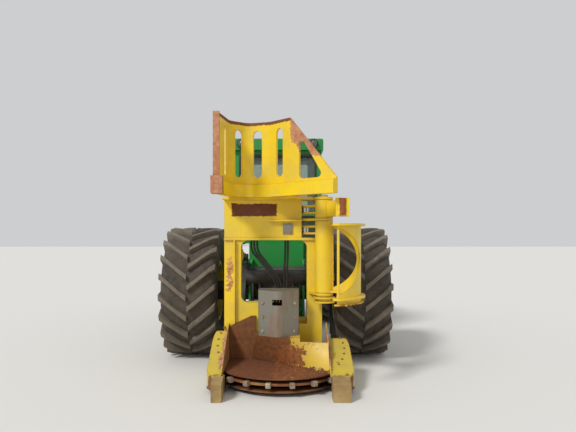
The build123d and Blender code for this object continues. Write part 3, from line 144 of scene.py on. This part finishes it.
def add(tree, kind, inputs=None, **settings):
    """Add a node with its settings, and with values or links on its inputs."""
    node = tree.nodes.new("ShaderNode" + kind)
    for name, value in settings.items():
        setattr(node, name, value)
    for socket, value in (inputs or {}).items():
        if isinstance(value, bpy.types.NodeSocket):
            tree.links.new(value, node.inputs[socket])
        else:
            node.inputs[socket].default_value = value
    return node


def new_material(name):
    """Empty node material with its tree, its shader and its object coordinates."""
    material = bpy.data.materials.new(name)
    material.use_nodes = True
    tree = material.node_tree
    tree.nodes.clear()
    shader = add(tree, "BsdfPrincipled")
    add(tree, "OutputMaterial", {"Surface": shader.outputs[0]})
    place = add(tree, "TexCoord").outputs["Object"]
    return material, tree, shader, place


def grain(tree, shader, place, to_the_metre, detail, strength, depth_mm):
    """Bump of a fine grain, with so many grains to the metre."""
    noise = add(tree, "TexNoise", {"Vector": place, "Scale": to_the_metre, "Detail": detail})
    bump = add(tree, "Bump", {"Height": noise.outputs[0], "Strength": strength,
                              "Distance": depth_mm / 1000})
    tree.links.new(bump.outputs[0], shader.inputs["Normal"])


def patches(tree, place, size_mm, share, edge=0.06, stretch=(1, 1, 1), detail=6):
    """Mask of irregular patches, whose size is in millimetres and whose share is of the surface."""
    mapped = add(tree, "Mapping", {"Vector": place, "Scale": stretch})
    noise = add(tree, "TexNoise", {"Vector": mapped.outputs[0], "Scale": 1000 / size_mm,
                                   "Detail": detail, "Roughness": 0.62})
    # The noise lies between about 0.25 and 0.75
    level = 0.5 + (0.5 - share) * 0.5
    return add(tree, "MapRange", {"Value": noise.outputs[0], "From Min": level - edge / 2,
                                  "From Max": level + edge / 2}).outputs[0]


def mixed(tree, mask, under, over):
    """Colour over another by a mask."""
    return add(tree, "Mix", {0: mask, 6: under, 7: over}, data_type="RGBA").outputs[2]


def blended(tree, mask, under, over):
    """Number over another by a mask."""
    return add(tree, "Mix", {0: mask, 2: under, 3: over}, data_type="FLOAT").outputs[0]


def edge_mask(tree, reach_mm, sharpness=0.12):
    """Mask of the strip along sharp edges, as wide as reach_mm."""
    rounded = add(tree, "Bevel", {"Radius": reach_mm / 1000}, samples=4)
    flat = add(tree, "NewGeometry")
    likeness = add(tree, "VectorMath", {0: rounded.outputs[0], 1: flat.outputs["Normal"]},
                   operation="DOT_PRODUCT")
    return add(tree, "MapRange", {"Value": likeness.outputs["Value"], "From Min": 1 - sharpness / 6,
                                  "From Max": 1 - sharpness}).outputs[0]


def within(x=(None, None), y=(None, None), z=(None, None)):
    """Planes round a box, whose sides may be open."""
    planes = []
    for axis, ends in enumerate((x, y, z)):
        for end, sign in zip(ends, (1, -1)):
            if end is not None:
                point = [end if i == axis else 0 for i in range(3)]
                facing = [sign if i == axis else 0 for i in range(3)]
                planes.append((point, facing))
    return planes


def region(tree, place, planes, ragged_mm):
    """Mask of what lies beyond every plane, each a point and a direction, with a ragged edge."""
    # The edge wanders on a grain of 45 mm
    noise = add(tree, "TexNoise", {"Vector": place, "Scale": 22, "Detail": 8, "Roughness": 0.7})
    reach = add(tree, "MapRange", {"Value": noise.outputs[0], "From Min": 0.3, "From Max": 0.7,
                                   "To Min": -1, "To Max": 1}).outputs[0]
    shift = add(tree, "Math", {0: reach, 1: ragged_mm / 1000}, operation="MULTIPLY").outputs[0]
    least = None
    for point, facing in planes:
        aside = add(tree, "VectorMath", {0: place, 1: point}, operation="SUBTRACT").outputs[0]
        reach = add(tree, "VectorMath", {0: aside, 1: Vector(facing).normalized()},
                    operation="DOT_PRODUCT").outputs["Value"]
        if least:
            reach = add(tree, "Math", {0: least, 1: reach}, operation="MINIMUM").outputs[0]
        least = reach
    total = add(tree, "Math", {0: least, 1: shift}, operation="ADD").outputs[0]
    return add(tree, "MapRange", {"Value": total, "From Min": -0.003, "From Max": 0.003}).outputs[0]


def enamel(name, paint, faded, primer, rust, rust_share, wear_mm, dust="#8F8474", roughness=0.38,
           rubbed=()):
    """Sprayed enamel on plate: gloss that has faded in patches, rubbed through at its edges.

    rubbed holds what has lost its paint, and also darker brown painted in as shadow, each as a colour,
    its ragged edge in mm and its planes.
    """
    material, tree, shader, place = new_material(name)
    fade = patches(tree, place, 900, 0.45, 0.5)
    base = mixed(tree, fade, colour(paint), colour(faded))
    grime = patches(tree, place, 240, 0.30, 0.4, detail=9)
    base = mixed(tree, add(tree, "Math", {0: grime, 1: 0.35}, operation="MULTIPLY").outputs[0],
                 base, colour(dust))
    spots = patches(tree, place, 160, rust_share, 0.05, detail=10)
    worn = edge_mask(tree, wear_mm)
    broken = patches(tree, place, 45, 0.60, 0.25)
    worn = add(tree, "Math", {0: worn, 1: broken}, operation="MULTIPLY").outputs[0]
    base = mixed(tree, worn, base, colour(primer))
    base = mixed(tree, spots, base, colour(rust))
    # Each region laid over the paint is either plate rubbed free of paint or a darker brown painted in
    # as shadow; rust patches lie in both
    for bare_and_shade_colour, ragged_mm, planes in rubbed:
        mask = region(tree, place, planes, ragged_mm)
        stain = mixed(tree, patches(tree, place, 55, 0.45, 0.6, detail=9), colour(bare_and_shade_colour), colour(rust))
        base = mixed(tree, mask, base, stain)
        spots = add(tree, "Math", {0: spots, 1: mask}, operation="MAXIMUM").outputs[0]
    tree.links.new(base, shader.inputs["Base Color"])
    rough = blended(tree, spots, roughness, 0.85)
    tree.links.new(blended(tree, grime, rough, 0.6), shader.inputs["Roughness"])
    shader.inputs["IOR"].default_value = 1.5
    # Orange peel of sprayed paint, 4.5 mm across
    grain(tree, shader, place, 220, 3, 0.06, 2)
    return material


def rusted_plate(name, deep, bright, rubbed, rubbed_share):
    """Hot-rolled plate whose paint is gone: brown rust in patches, rubbed paler where wood slides."""
    material, tree, shader, place = new_material(name)
    base = mixed(tree, patches(tree, place, 130, 0.5, 0.45, detail=10), colour(deep), colour(bright))
    rub = patches(tree, place, 420, rubbed_share, 0.3, detail=8)
    base = mixed(tree, rub, base, colour(rubbed))
    tree.links.new(base, shader.inputs["Base Color"])
    shader.inputs["Roughness"].default_value = 0.82
    # Pits of rust, 9 mm across
    grain(tree, shader, place, 110, 8, 0.35, 3)
    return material


def rubber(name, clean, dust, dust_share, roughness=0.9):
    """Vulcanised rubber, grey with dried mud that lies in patches."""
    material, tree, shader, place = new_material(name)
    mud = patches(tree, place, 70, dust_share, 0.5, detail=10)
    base = mixed(tree, mud, colour(clean), colour(dust))
    base = mixed(tree, patches(tree, place, 350, 0.35, 0.5), base, colour(dust))
    tree.links.new(base, shader.inputs["Base Color"])
    shader.inputs["Roughness"].default_value = roughness
    shader.inputs["IOR"].default_value = 1.52
    # Crumbs of dried mud, 7 mm across
    grain(tree, shader, place, 150, 8, 0.3, 4)
    return material


def bare_metal(name, base, stain, stain_share, roughness, stretch=(1, 1, 0.2)):
    """Bare steel with rust that has run down it."""
    material, tree, shader, place = new_material(name)
    streaks = patches(tree, place, 120, stain_share, 0.25, stretch, 9)
    tree.links.new(mixed(tree, streaks, colour(base), colour(stain)), shader.inputs["Base Color"])
    tree.links.new(blended(tree, streaks, 0.75, 0.1), shader.inputs["Metallic"])
    tree.links.new(blended(tree, streaks, roughness, 0.8), shader.inputs["Roughness"])
    # Mill scale and knocks, 6 mm across
    grain(tree, shader, place, 160, 4, 0.12, 2)
    return material


def tinted_glass(name, tint, roughness):
    """Toughened glass with a tint: clear, with the sky on it."""
    material, _, shader, _ = new_material(name)
    shader.inputs["Base Color"].default_value = colour(tint)
    shader.inputs["Roughness"].default_value = roughness
    shader.inputs["IOR"].default_value = 1.52
    shader.inputs["Transmission Weight"].default_value = 0.92
    return material


def moulded(name, base, roughness=0.55):
    """Moulded plastic or woven seat cloth with a fine grain."""
    material, tree, shader, place = new_material(name)
    shade = patches(tree, place, 60, 0.5, 0.6)
    tree.links.new(mixed(tree, shade, colour(base), colour(DUST_ON_BLACK)), shader.inputs["Base Color"])
    shader.inputs["Roughness"].default_value = roughness
    # Spark texture or weave, 2.5 mm across
    grain(tree, shader, place, 400, 2, 0.2, 1)
    return material


DUST_ON_BLACK = "#3B3A38"
PRIMER = "#CF9A72"
OLD_RUST = "#7A3F1E"
# A plane 125 mm inside the horn's diagonal rim, which has lost its paint down to its lower end
RIM_POINT = (0.079, 0, 3.03)
RIM_FACING = (0.83, 0, 0.557)
RIM_PART = within(x=(0.19, None), z=(2.62, None))
ARM_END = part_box("accumulator_arm")[0]
# Yellow enamel: warm and glossy where it is sound, with primer and rust where trees have rubbed it
yellow = enamel("yellow_enamel", "#F0CE1A", "#E2BE26", "#B9683A", OLD_RUST, 0.04, 7, rubbed=(
    ("#5E3420", 14, within(x=(-0.534, 0.024), y=(-2.60, -2.54), z=(1.964, 2.12))),
    (PRIMER, 60, within(x=(-0.58, -0.53), y=(-2.60, -2.54), z=(1.05, 1.45))),
    ("#96582E", 6, within(y=(None, ARM_END[1] + 0.014), z=(ARM_END[2] - 0.01, None))),
    (OLD_RUST, 18, within(y=(None, -3.02), z=(0.90, 0.995))),
))
horn_yellow = enamel("horn_enamel", "#F0CE1A", "#E6C222", "#A9623A", "#8A4A26", 0.06, 12, rubbed=(
    ("#6E3E22", 12, within(z=(3.062, None))),
    (PRIMER, 30, [(RIM_POINT, RIM_FACING)] + RIM_PART),
    (PRIMER, 20, within(x=(None, -0.5), y=(None, -3.285))),
))
deck_yellow = enamel("deck_enamel", "#CDB52E", "#B8A236", "#8A4A26", "#6E3A1F", 0.16, 14, rubbed=(
    (PRIMER, 45, within(x=(-0.60, 0.66), y=(-3.30, -2.7), z=(0.24, None))),
    ("#4A3626", 6, within(z=(None, 0.08))),
    ("#7E5A34", 25, within(y=(None, -3.36), z=(None, 0.215))),
))
pocket_yellow = enamel("pocket_enamel", "#E4BE22", "#C4A02E", PRIMER, "#4E2E18", 0.24, 16, rubbed=(
    # Painted shadow: the pocket's left part, darker brown where the left column's shadow falls on it
    ("#8A5426", 60, within(x=(None, 0.20))),
    ("#7A4424", 30, within(z=(None, 0.235))),
    ("#A8622C", 70, within(x=(0.02, 0.34), z=(0.22, 0.44))),
))
# Green and black enamel on the carrier, which trees don't reach: whole, with a little dust
green = enamel("green_enamel", "#12923A", "#1C7E38", "#4B5A44", "#5A3A22", 0.03, 3, dust="#5C6B4C")
black = enamel("black_enamel", "#1B1B1A", "#2A2927", "#4A4743", "#4A3020", 0.05, 3, roughness=0.5)
# Plate that the cut keeps bare: dull brown, paler where wood and ground slide over it
rust = rusted_plate("rusted_plate", "#6B3A20", "#8A5630", "#C9A05A", 0.30)
toe_rust = rusted_plate("toe_plate", "#6B4A30", "#8A6A42", "#A8905C", 0.45)
# Bare and plated metals, from dull scale to the mirror of a hard-chromed rod
cover_steel = bare_metal("cover_steel", "#8E8A7E", "#8A5426", 0.28, 0.5)
tooth_steel = bare_metal("tooth_steel", "#B9AE98", "#7A5A3C", 0.4, 0.5, (1, 1, 1))
cast = bare_metal("cast_iron", "#2E2C2A", "#463A2E", 0.45, 0.7, (1, 1, 1))
chrome = bare_metal("chromed_rod", "#D5D5D2", "#8A847A", 0.05, 0.18, (1, 1, 1))
# Rubber: matt, grey with mud on the bars and darker on the walls
bar_rubber = rubber("bar_rubber", "#4A443C", "#7A7063", 0.55)
wall_rubber = rubber("wall_rubber", "#2E2A26", "#5A5247", 0.45)
hose_rubber = rubber("hose_rubber", "#151515", "#3A3732", 0.15, 0.6)
glass = tinted_glass("safety_glass", "#C9D8CF", 0.03)
lamp_glass = tinted_glass("lamp_glass", "#E6E8E4", 0.15)
plastic = moulded("moulded_plastic", "#1D1D1C")
seat_cloth = moulded("seat_cloth", "#2A2B2E", 0.95)

FINISHES = [
    (green, ("front_frame", "rear_frame", "cab_shell", "cab_door", "cab_roof", "hood")),
    (yellow, ("head_frame", "harvest_arm", "accumulator_arm", "rim_front_left", "rim_front_right",
              "rim_rear_left", "rim_rear_right")),
    (horn_yellow, ("gathering_horn",)),
    (deck_yellow, ("saw_housing",)),
    (black, ("steps", "side_grilles", "rear_door", "exhaust", "lift_barrels", "tilt_barrels",
             "steer_barrel_right", "steer_barrel_left", "harvest_barrel", "accumulator_barrel",
             "side_tanks", "bumper", "boom")),
    (hose_rubber, ("head_hoses",)),
    (pocket_yellow, ("butt_plate",)),
    (rust, ("saw_disc",)),
    (toe_rust, ("toes",)),
    (cover_steel, ("motor_cover",)),
    (tooth_steel, ("saw_teeth",)),
    (cast, ("front_axle", "rear_axle", "engine", "saw_motor", "radiator")),
    (chrome, ("lift_rods", "tilt_rods", "steer_rod_right", "steer_rod_left", "harvest_rod",
              "accumulator_rod")),
    (wall_rubber, ("tyre_front_left", "tyre_front_right", "tyre_rear_left", "tyre_rear_right")),
    (glass, ("cab_glass", "door_glass")),
    (plastic, ("consoles", "roof_lamps", "rear_lamps")),
    (seat_cloth, ("seat",)),
]
for finish, names in FINISHES:
    for name in names:
        node = bpy.data.objects[name]
        node.data.materials.clear()
        node.data.materials.append(finish)


# Tyres: a smooth carcass and curved bar lugs, over the plainer ones of the CAD model
TYRE_R = 0.915
TREAD_R = 0.853
TYRE_STEPS = 80
LUGS = 20
# The last part of a lug falls off towards the shoulder
SHOULDER_X = 0.36
SHOULDER_DROP = 0.02
# (x, radius) from the bead to the middle of the tread
CARCASS = [(0.318, 0.436), (0.345, 0.47), (0.378, 0.56), (0.386, 0.64), (0.376, 0.715), (0.352, 0.79),
           (0.30, 0.832), (0.18, 0.848), (0.0, TREAD_R)]
# Middle line of a lug at the tyre's top: x out from the middle, y back, z of its foot, half width
LUG_LINE = [(0.008, -0.165, 0.80, 0.036), (0.10, -0.095, 0.80, 0.031), (0.20, -0.01, 0.79, 0.031),
            (0.30, 0.075, 0.77, 0.034), (0.372, 0.128, 0.72, 0.040)]


def carcass():
    """Closed ring turned from the tyre's section."""
    section = CARCASS + [(-x, r) for x, r in reversed(CARCASS[:-1])]
    bpy.ops.mesh.primitive_plane_add(size=0.01)
    ring = bpy.context.object
    bpy.ops.object.mode_set(mode="EDIT")
    bpy.ops.mesh.select_mode(type="VERT")
    bpy.ops.mesh.select_all(action="SELECT")
    bpy.ops.mesh.merge(type="CENTER")
    bpy.ops.transform.translate(value=(section[0][0], 0, section[0][1]))
    for near, far in zip(section, section[1:]):
        move = (far[0] - near[0], 0, far[1] - near[1])
        bpy.ops.mesh.extrude_region_move(TRANSFORM_OT_translate={"value": move})
    bpy.ops.mesh.select_all(action="SELECT")
    bpy.ops.mesh.spin(steps=TYRE_STEPS, angle=2 * pi, center=(0, 0, 0), axis=(1, 0, 0))
    bpy.ops.mesh.select_all(action="SELECT")
    bpy.ops.mesh.remove_doubles(threshold=0.0005)
    bpy.ops.mesh.normals_make_consistent(inside=False)
    bpy.ops.object.mode_set(mode="OBJECT")
    return ring


def lug_top(x, y):
    """Height of a lug's crown above the axle."""
    return (TYRE_R ** 2 - y ** 2) ** 0.5 - (SHOULDER_DROP if x > SHOULDER_X else 0)


def lug():
    """Bar lug drawn out along its line, with its edges rounded."""
    x, y, z, half = LUG_LINE[0]
    bpy.ops.mesh.primitive_cube_add(size=1)
    bar = bpy.context.object
    top = lug_top(x, y)
    bar.scale = (0.004, 2 * half, top - z)
    bar.location = (x, y, (top + z) / 2)
    bpy.ops.object.transform_apply(location=True, rotation=True, scale=True)
    for (x0, y0, z0, w0), (x1, y1, z1, w1) in zip(LUG_LINE, LUG_LINE[1:]):
        bpy.ops.object.mode_set(mode="OBJECT")
        far = max(face.center.x for face in bar.data.polygons)
        pick_faces(bar, lambda face: face.center.x > far - 1e-5)
        top0, top1 = lug_top(x0, y0), lug_top(x1, y1)
        move = (x1 - x0, y1 - y0, ((top1 + z1) - (top0 + z0)) / 2)
        bpy.ops.mesh.extrude_region_move(TRANSFORM_OT_translate={"value": move})
        bpy.ops.transform.resize(value=(1, w1 / w0, (top1 - z1) / (top0 - z0)))
    bpy.ops.object.mode_set(mode="OBJECT")
    finish_with(bar, "BEVEL", width=0.007, segments=2, limit_method="ANGLE")
    return bar


def tyre_mesh():
    """Ring and lugs as one piece at the origin, with two materials."""
    ring = carcass()
    first = lug()
    for piece in (ring, first):
        piece.data.materials.append(wall_rubber)
        piece.data.materials.append(bar_rubber)
    bars = []
    for face in first.data.polygons:
        face.material_index = 1
    for half, mirror in ((0, 1), (0.5, -1)):
        for turn in range(LUGS):
            twin = twin_of(first)
            flip = Matrix.Diagonal((mirror, 1, 1, 1))
            twin.data.transform(Matrix.Rotation(2 * pi * (turn + half) / LUGS, 4, "X") @ flip)
            if mirror < 0:
                twin.data.flip_normals()
            bars.append(twin)
    bpy.data.objects.remove(first)
    return joined([ring] + bars)


master_tyre = tyre_mesh()
smooth(master_tyre, 40)
for end in ("front", "rear"):
    for side in ("left", "right"):
        node = f"tyre_{end}_{side}"
        tyre = twin_of(master_tyre)
        tyre.data.transform(Matrix.Translation(middle_of(node)))
        tyre.name = f"{node}_tread"
        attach(tyre, f"wheel_{end}_{side}")
        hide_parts(node)
bpy.data.objects.remove(master_tyre)


# Bolts


def bolt(across, height):
    """Hexagon head on a washer, standing on its Z."""
    bpy.ops.mesh.primitive_cylinder_add(vertices=20, radius=across * 0.72, depth=height * 0.25,
                                        location=(0, 0, height * 0.125))
    washer = bpy.context.object
    bpy.ops.mesh.primitive_cylinder_add(vertices=6, radius=across * 0.577, depth=height,
                                        location=(0, 0, height * 0.5))
    head = bpy.context.object
    finish_with(head, "BEVEL", width=across * 0.05, segments=1, limit_method="ANGLE")
    return joined([head, washer])


# The wheel nuts stand on the rim's disc, which lies out of the rim's middle
NUTS = 12
NUT_CIRCLE = 0.19
RIM_DISC_OUT = 0.058
for end in ("front", "rear"):
    for side, out in (("left", -1), ("right", 1)):
        x, y, z = middle_of(f"rim_{end}_{side}")
        places = []
        for turn in range(NUTS):
            angle = 2 * pi * turn / NUTS
            places.append(((x + out * RIM_DISC_OUT, y + NUT_CIRCLE * cos(angle),
                            z + NUT_CIRCLE * sin(angle)), (out, 0, 0)))
        nuts = copies(bolt(0.036, 0.03), places)
        finished(nuts, f"wheel_nuts_{end}_{side}", cast, f"wheel_{end}_{side}")


# The saw's centre, the side decks' low front edge and how far they rise for each metre back
SAW_X = 0.08
SAW_Y = -2.84
DECK_TOP = 0.216
DECK_FRONT_Y = -3.40
LEFT_RISE = 0.4617
RIGHT_RISE = 0.341
DECK_BOLT_R = 0.745


def slope_places(x_low, x_high, rise, turns):
    """Places on a sloped side deck, near the saw housing's round edge."""
    places = []
    for turn in turns:
        x = SAW_X + DECK_BOLT_R * cos(radians(turn))
        y = SAW_Y + DECK_BOLT_R * sin(radians(turn))
        if x_low < x < x_high:
            places.append(((x, y, DECK_TOP + rise * (y - DECK_FRONT_Y)), (0, -rise, 1)))
    return places


deck_places = slope_places(-0.72, -0.60, LEFT_RISE, range(150, 230, 9))
deck_places += slope_places(0.68, 0.86, RIGHT_RISE, range(-56, 20, 9))
deck_bolts = copies(bolt(0.024, 0.018), deck_places)
finished(deck_bolts, "deck_bolts", rust, "head")

# Rows of bolts down the motor cover: x, y and facing, and the heights in each row
COVER_ROWS = [(-0.137, -2.859, (-0.559, -0.829, 0)), (0.235, -2.860, (0.559, -0.829, 0))]
COVER_BOLT_Z = (0.932, 0.767, 0.60)
cover_places = [((x, y, z), facing) for x, y, facing in COVER_ROWS for z in COVER_BOLT_Z]
cover_bolts = copies(bolt(0.036, 0.022), cover_places)
finished(cover_bolts, "cover_bolts", tooth_steel, "head")

# Bolted plate beside the lower arm: its front is level with the window's flange
PLATE_X = (0.100, 0.219)
PLATE_Z = (1.743, 1.874)
PANEL_Y = -2.555
PLATE_T = 0.014
BOLT_INSET = 0.022
bpy.ops.mesh.primitive_cube_add(size=1)
plate = bpy.context.object
plate.scale = (PLATE_X[1] - PLATE_X[0], PLATE_T, PLATE_Z[1] - PLATE_Z[0])
plate.location = (sum(PLATE_X) / 2, PANEL_Y - PLATE_T / 2, sum(PLATE_Z) / 2)
finish_with(plate, "BEVEL", width=0.003, segments=2)
corners = []
for x in (PLATE_X[0] + BOLT_INSET, PLATE_X[1] - BOLT_INSET):
    for z in (PLATE_Z[0] + BOLT_INSET, PLATE_Z[1] - BOLT_INSET):
        corners.append(((x, PANEL_Y - PLATE_T, z), (0, -1, 0)))
plate = joined([plate, copies(bolt(0.018, 0.012), corners)])
finished(plate, "panel_cover_plate", cover_steel, "head")


# Lamps: a clear lens with a bezel in front of each lamp, inside its chamfered edge
LAMPS = [("roof_lamps", "front", -1, 0.060), ("rear_lamps", "rear", 1, 0.032)]
LENS_CROWN = 0.16
BEZEL_R = 0.006
for name, body, facing, radius in LAMPS:
    low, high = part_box(name)
    face_y = low[1] if facing < 0 else high[1]
    height = (low[2] + high[2]) / 2
    half = (high[2] - low[2]) / 2
    lamps = [((x, face_y, height), (0, facing, 0)) for x in (low[0] + half, high[0] - half)]
    bpy.ops.mesh.primitive_uv_sphere_add(segments=48, ring_count=24, radius=radius)
    lens = bpy.context.object
    lens.scale = (1, 1, LENS_CROWN)
    smooth(lens, 60)
    lenses = finished(copies(lens, lamps), f"{name}_lenses", lamp_glass, body)
    bpy.ops.mesh.primitive_torus_add(major_segments=48, minor_segments=10,
                                     major_radius=radius + BEZEL_R, minor_radius=BEZEL_R)
    bezels = finished(copies(bpy.context.object, lamps), f"{name}_bezels", plastic, body)
    smooth(bezels, 60)


# Seat: crowned pads on the firm seat and back, each with its size, place and lean
PADS = [
    ("seat_pad", (0.46, 0.42, 0.06), (0, 0.07, 2.035), 0),
    ("seat_back_pad", (0.44, 0.56, 0.05), (0, 0.225, 2.35), radians(85)),
]
PAD_FRAMES = 12


def pad(size, place, lean):
    """Pad blown up by cloth simulation, so that its middle is crowned and its sides pull in."""
    bpy.ops.mesh.primitive_cube_add(size=1)
    cushion = bpy.context.object
    cushion.scale = size
    bpy.ops.object.transform_apply(location=False, rotation=False, scale=True)
    finish_with(cushion, "BEVEL", width=0.02, segments=2)
    finish_with(cushion, "REMESH", mode="VOXEL", voxel_size=0.012)
    cloth = cushion.modifiers.new("Cloth", "CLOTH")
    cloth.settings.use_pressure = True
    cloth.settings.uniform_pressure_force = 0.8
    cloth.settings.effector_weights.gravity = 0
    for step in range(PAD_FRAMES):
        bpy.context.scene.frame_set(step + 1)
    bpy.ops.object.modifier_apply(modifier=cloth.name)
    bpy.context.scene.frame_set(1)
    finish_with(cushion, "SUBSURF", levels=1)
    cushion.rotation_euler = (lean, 0, 0)
    cushion.location = place
    smooth(cushion, 80)
    return cushion


for name, size, place, lean in PADS:
    cushion = finished(pad(size, place, lean), name, seat_cloth, "front")


# Hose ends: a crimped sleeve and a hexagon nut on each end of the head's hoses
HOSE_TOP_Y = -2.35
HOSE_TOP_Z = 1.69
MOTOR_Y = -2.78
MOTOR_TOP_Z = 0.875
# x of each hose at the blocks behind the head and at the saw motor
HOSES = [(-0.303, 0.008), (-0.265, 0.042), (-0.227, 0.076), (0.128, 0.110), (0.162, 0.144)]


def hose_end():
    """Crimped sleeve with a nut, from the origin up its Z."""
    bpy.ops.mesh.primitive_cylinder_add(vertices=24, radius=0.0165, depth=0.055, location=(0, 0, 0.045))
    sleeve = bpy.context.object
    finish_with(sleeve, "BEVEL", width=0.002, segments=1, limit_method="ANGLE")
    bpy.ops.mesh.primitive_cylinder_add(vertices=6, radius=0.021, depth=0.02, location=(0, 0, 0.01))
    nut = bpy.context.object
    finish_with(nut, "BEVEL", width=0.0015, segments=1, limit_method="ANGLE")
    return joined([sleeve, nut])


ends = [((top_x, HOSE_TOP_Y, HOSE_TOP_Z), (0, 0, -1)) for top_x, _ in HOSES]
ends += [((motor_x, MOTOR_Y, MOTOR_TOP_Z), (0, 0, 1)) for _, motor_x in HOSES]
sleeves = finished(copies(hose_end(), ends), "hose_ends", chrome, "head")


# Cab windows: rubber seals against the outside of the walls
SEAL_WIDTH = 0.03
SEAL_HEIGHT = 0.011
CORNER_R = 0.065
DOOR_SKIN_OUT = 0.05


def seal(middle, width, height, facing, up):
    """Seal round an opening, from the middle, size and facing of the opening."""
    bpy.ops.mesh.primitive_plane_add(size=1)
    ring = bpy.context.object
    ring.scale = (width + SEAL_WIDTH, height + SEAL_WIDTH, 1)
    bpy.ops.object.transform_apply(location=False, rotation=False, scale=True)
    bpy.ops.object.mode_set(mode="EDIT")
    bpy.ops.mesh.select_all(action="SELECT")
    bpy.ops.mesh.bevel(offset=CORNER_R, segments=6, affect="VERTICES")
    bpy.ops.mesh.inset(thickness=SEAL_WIDTH)
    bpy.ops.mesh.delete(type="FACE")
    bpy.ops.object.mode_set(mode="OBJECT")
    finish_with(ring, "SOLIDIFY", thickness=SEAL_HEIGHT, offset=1)
    out = Vector(facing).normalized()
    upward = Vector(up).normalized()
    turn = Matrix([upward.cross(out), upward, out]).transposed().to_4x4()
    ring.data.transform(Matrix.Translation(middle) @ turn)
    return ring


# Middle, width, height, facing and the way up of each opening
SCREEN_LEAN = 0.0693
SILL_LEAN = -0.087
SHELL_WINDOWS = [
    ((0, -0.5663, 2.535), 1.20, 0.892, (0, -1, SCREEN_LEAN), (0, SCREEN_LEAN, 1)),
    ((0, -0.5824, 1.845), 1.20, 0.331, (0, -1, SILL_LEAN), (0, SILL_LEAN, 1)),
    ((0.69, -0.04, 2.485), 0.84, 0.97, (1, 0, 0), (0, 0, 1)),
    ((0, 0.48, 2.56), 1.04, 0.82, (0, 1, 0), (0, 0, 1)),
]
seals = joined([seal(*window) for window in SHELL_WINDOWS])
finished(seals, "window_seals", hose_rubber, "front")
door_face_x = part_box("door_glass")[0][0] - DOOR_SKIN_OUT
door_seal = seal((door_face_x, -0.065, 2.46), 0.64, 0.88, (-1, 0, 0), (0, 0, 1))
finished(door_seal, "door_window_seal", hose_rubber, "left_door")


def tube(start, end, radius):
    """Straight round bar between two points."""
    start, end = Vector(start), Vector(end)
    bpy.ops.mesh.primitive_cylinder_add(vertices=20, radius=radius, depth=(end - start).length)
    bar = bpy.context.object
    turn = (end - start).to_track_quat("Z", "Y").to_matrix().to_4x4()
    bar.data.transform(Matrix.Translation((start + end) / 2) @ turn)
    return bar


# Grab rail on the pillar behind the door, with three feet
RAIL_Y = 0.43
RAIL_X = (-0.69, -0.76)
RAIL_Z = (1.78, 2.72)
RAIL_R = 0.014
FOOT_R = 0.011
FOOT_INSET = 0.02
rail = [tube((RAIL_X[1], RAIL_Y, RAIL_Z[0]), (RAIL_X[1], RAIL_Y, RAIL_Z[1]), RAIL_R)]
for height in (RAIL_Z[0] + FOOT_INSET, sum(RAIL_Z) / 2, RAIL_Z[1] - FOOT_INSET):
    rail.append(tube((RAIL_X[0], RAIL_Y, height), (RAIL_X[1], RAIL_Y, height), FOOT_R))
rail = finished(joined(rail), "grab_rail", black, "front")
smooth(rail)


KEEPER_T = 0.012
KEEPER_BOLT_CIRCLE = 0.58


def keeper(radius, bolts):
    """Round keeper plate with a circle of bolts, standing on its Z."""
    bpy.ops.mesh.primitive_cylinder_add(vertices=40, radius=radius, depth=KEEPER_T,
                                        location=(0, 0, KEEPER_T / 2))
    plate = bpy.context.object
    finish_with(plate, "BEVEL", width=0.002, segments=1, limit_method="ANGLE")
    reach = KEEPER_BOLT_CIRCLE * radius
    circle = []
    for turn in range(bolts):
        angle = 2 * pi * turn / bolts
        circle.append(((reach * cos(angle), reach * sin(angle), KEEPER_T), (0, 0, 1)))
    return joined([plate, copies(bolt(0.019, 0.013), circle)])


# Keeper plates on the ends of the pins: body, radius, bolts, and each plate's place and facing
KEEPERS = [
    ("boom_pin_keepers", "front", 0.050, 3, [((x, -1.0, 1.23), (x, 0, 0)) for x in (-0.595, 0.595)]),
    ("head_pin_keepers", "head", 0.050, 3, [((x, -2.28, 0.56), (x, 0, 0)) for x in (-0.58, 0.58)]),
    ("hinge_pin_keeper", "front", 0.068, 4, [((0, 0.445, 1.135), (0, 0, 1))]),
    ("arm_pin_keeper", "head", 0.050, 3, [((0.598, -2.70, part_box("head_frame")[1][2]), (0, 0, 1))]),
]
for name, body, radius, bolts, places in KEEPERS:
    keepers = finished(copies(keeper(radius, bolts), places), name, tooth_steel, body)

# Filler caps on the side tanks
bpy.ops.mesh.primitive_cylinder_add(vertices=32, radius=0.048, depth=0.04, location=(0, 0, 0.02))
cap = bpy.context.object
finish_with(cap, "BEVEL", width=0.006, segments=2, limit_method="ANGLE")
FILLER_X = 0.63
FILLER_Y = 1.15
tank_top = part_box("side_tanks")[1][2]
fillers = [((x, FILLER_Y, tank_top), (0, 0, 1)) for x in (-FILLER_X, FILLER_X)]
caps = finished(copies(cap, fillers), "filler_caps", plastic, "rear")


# Floor, light and camera
bpy.ops.mesh.primitive_plane_add(size=120)
floor = bpy.context.object
floor.name = "floor"
floor_material, _, shader, _ = new_material("pale_floor")
shader.inputs["Base Color"].default_value = colour("#D9D7D2")
shader.inputs["Roughness"].default_value = 0.9
floor.data.materials.append(floor_material)

world = bpy.data.worlds.new("studio")
bpy.context.scene.world = world
world.use_nodes = True
backdrop = world.node_tree.nodes["Background"]
backdrop.inputs["Color"].default_value = colour("#E8EAEC")
backdrop.inputs["Strength"].default_value = 0.75

sun = bpy.data.lights.new("key", "SUN")
sun.energy = 2.2
sun.angle = radians(12)
key = bpy.data.objects.new("key", sun)
key.rotation_euler = (radians(48), 0, radians(-38))
bpy.context.collection.objects.link(key)

front_axle_y = middle_of("rim_front_right")[1]
camera = bpy.data.cameras.new("camera")
camera.sensor_width = 36
camera.lens = 36
camera.shift_y = HORIZON_BELOW_MIDDLE / PHOTO_WIDTH
eye = bpy.data.objects.new("camera", camera)
eye.location = (CAMERA_X, front_axle_y - CAMERA_TO_FRONT_AXLE, CAMERA_HEIGHT)
eye.rotation_euler = (radians(90), 0, 0)
bpy.context.collection.objects.link(eye)
bpy.context.scene.camera = eye

bpy.context.scene.view_settings.view_transform = "Standard"
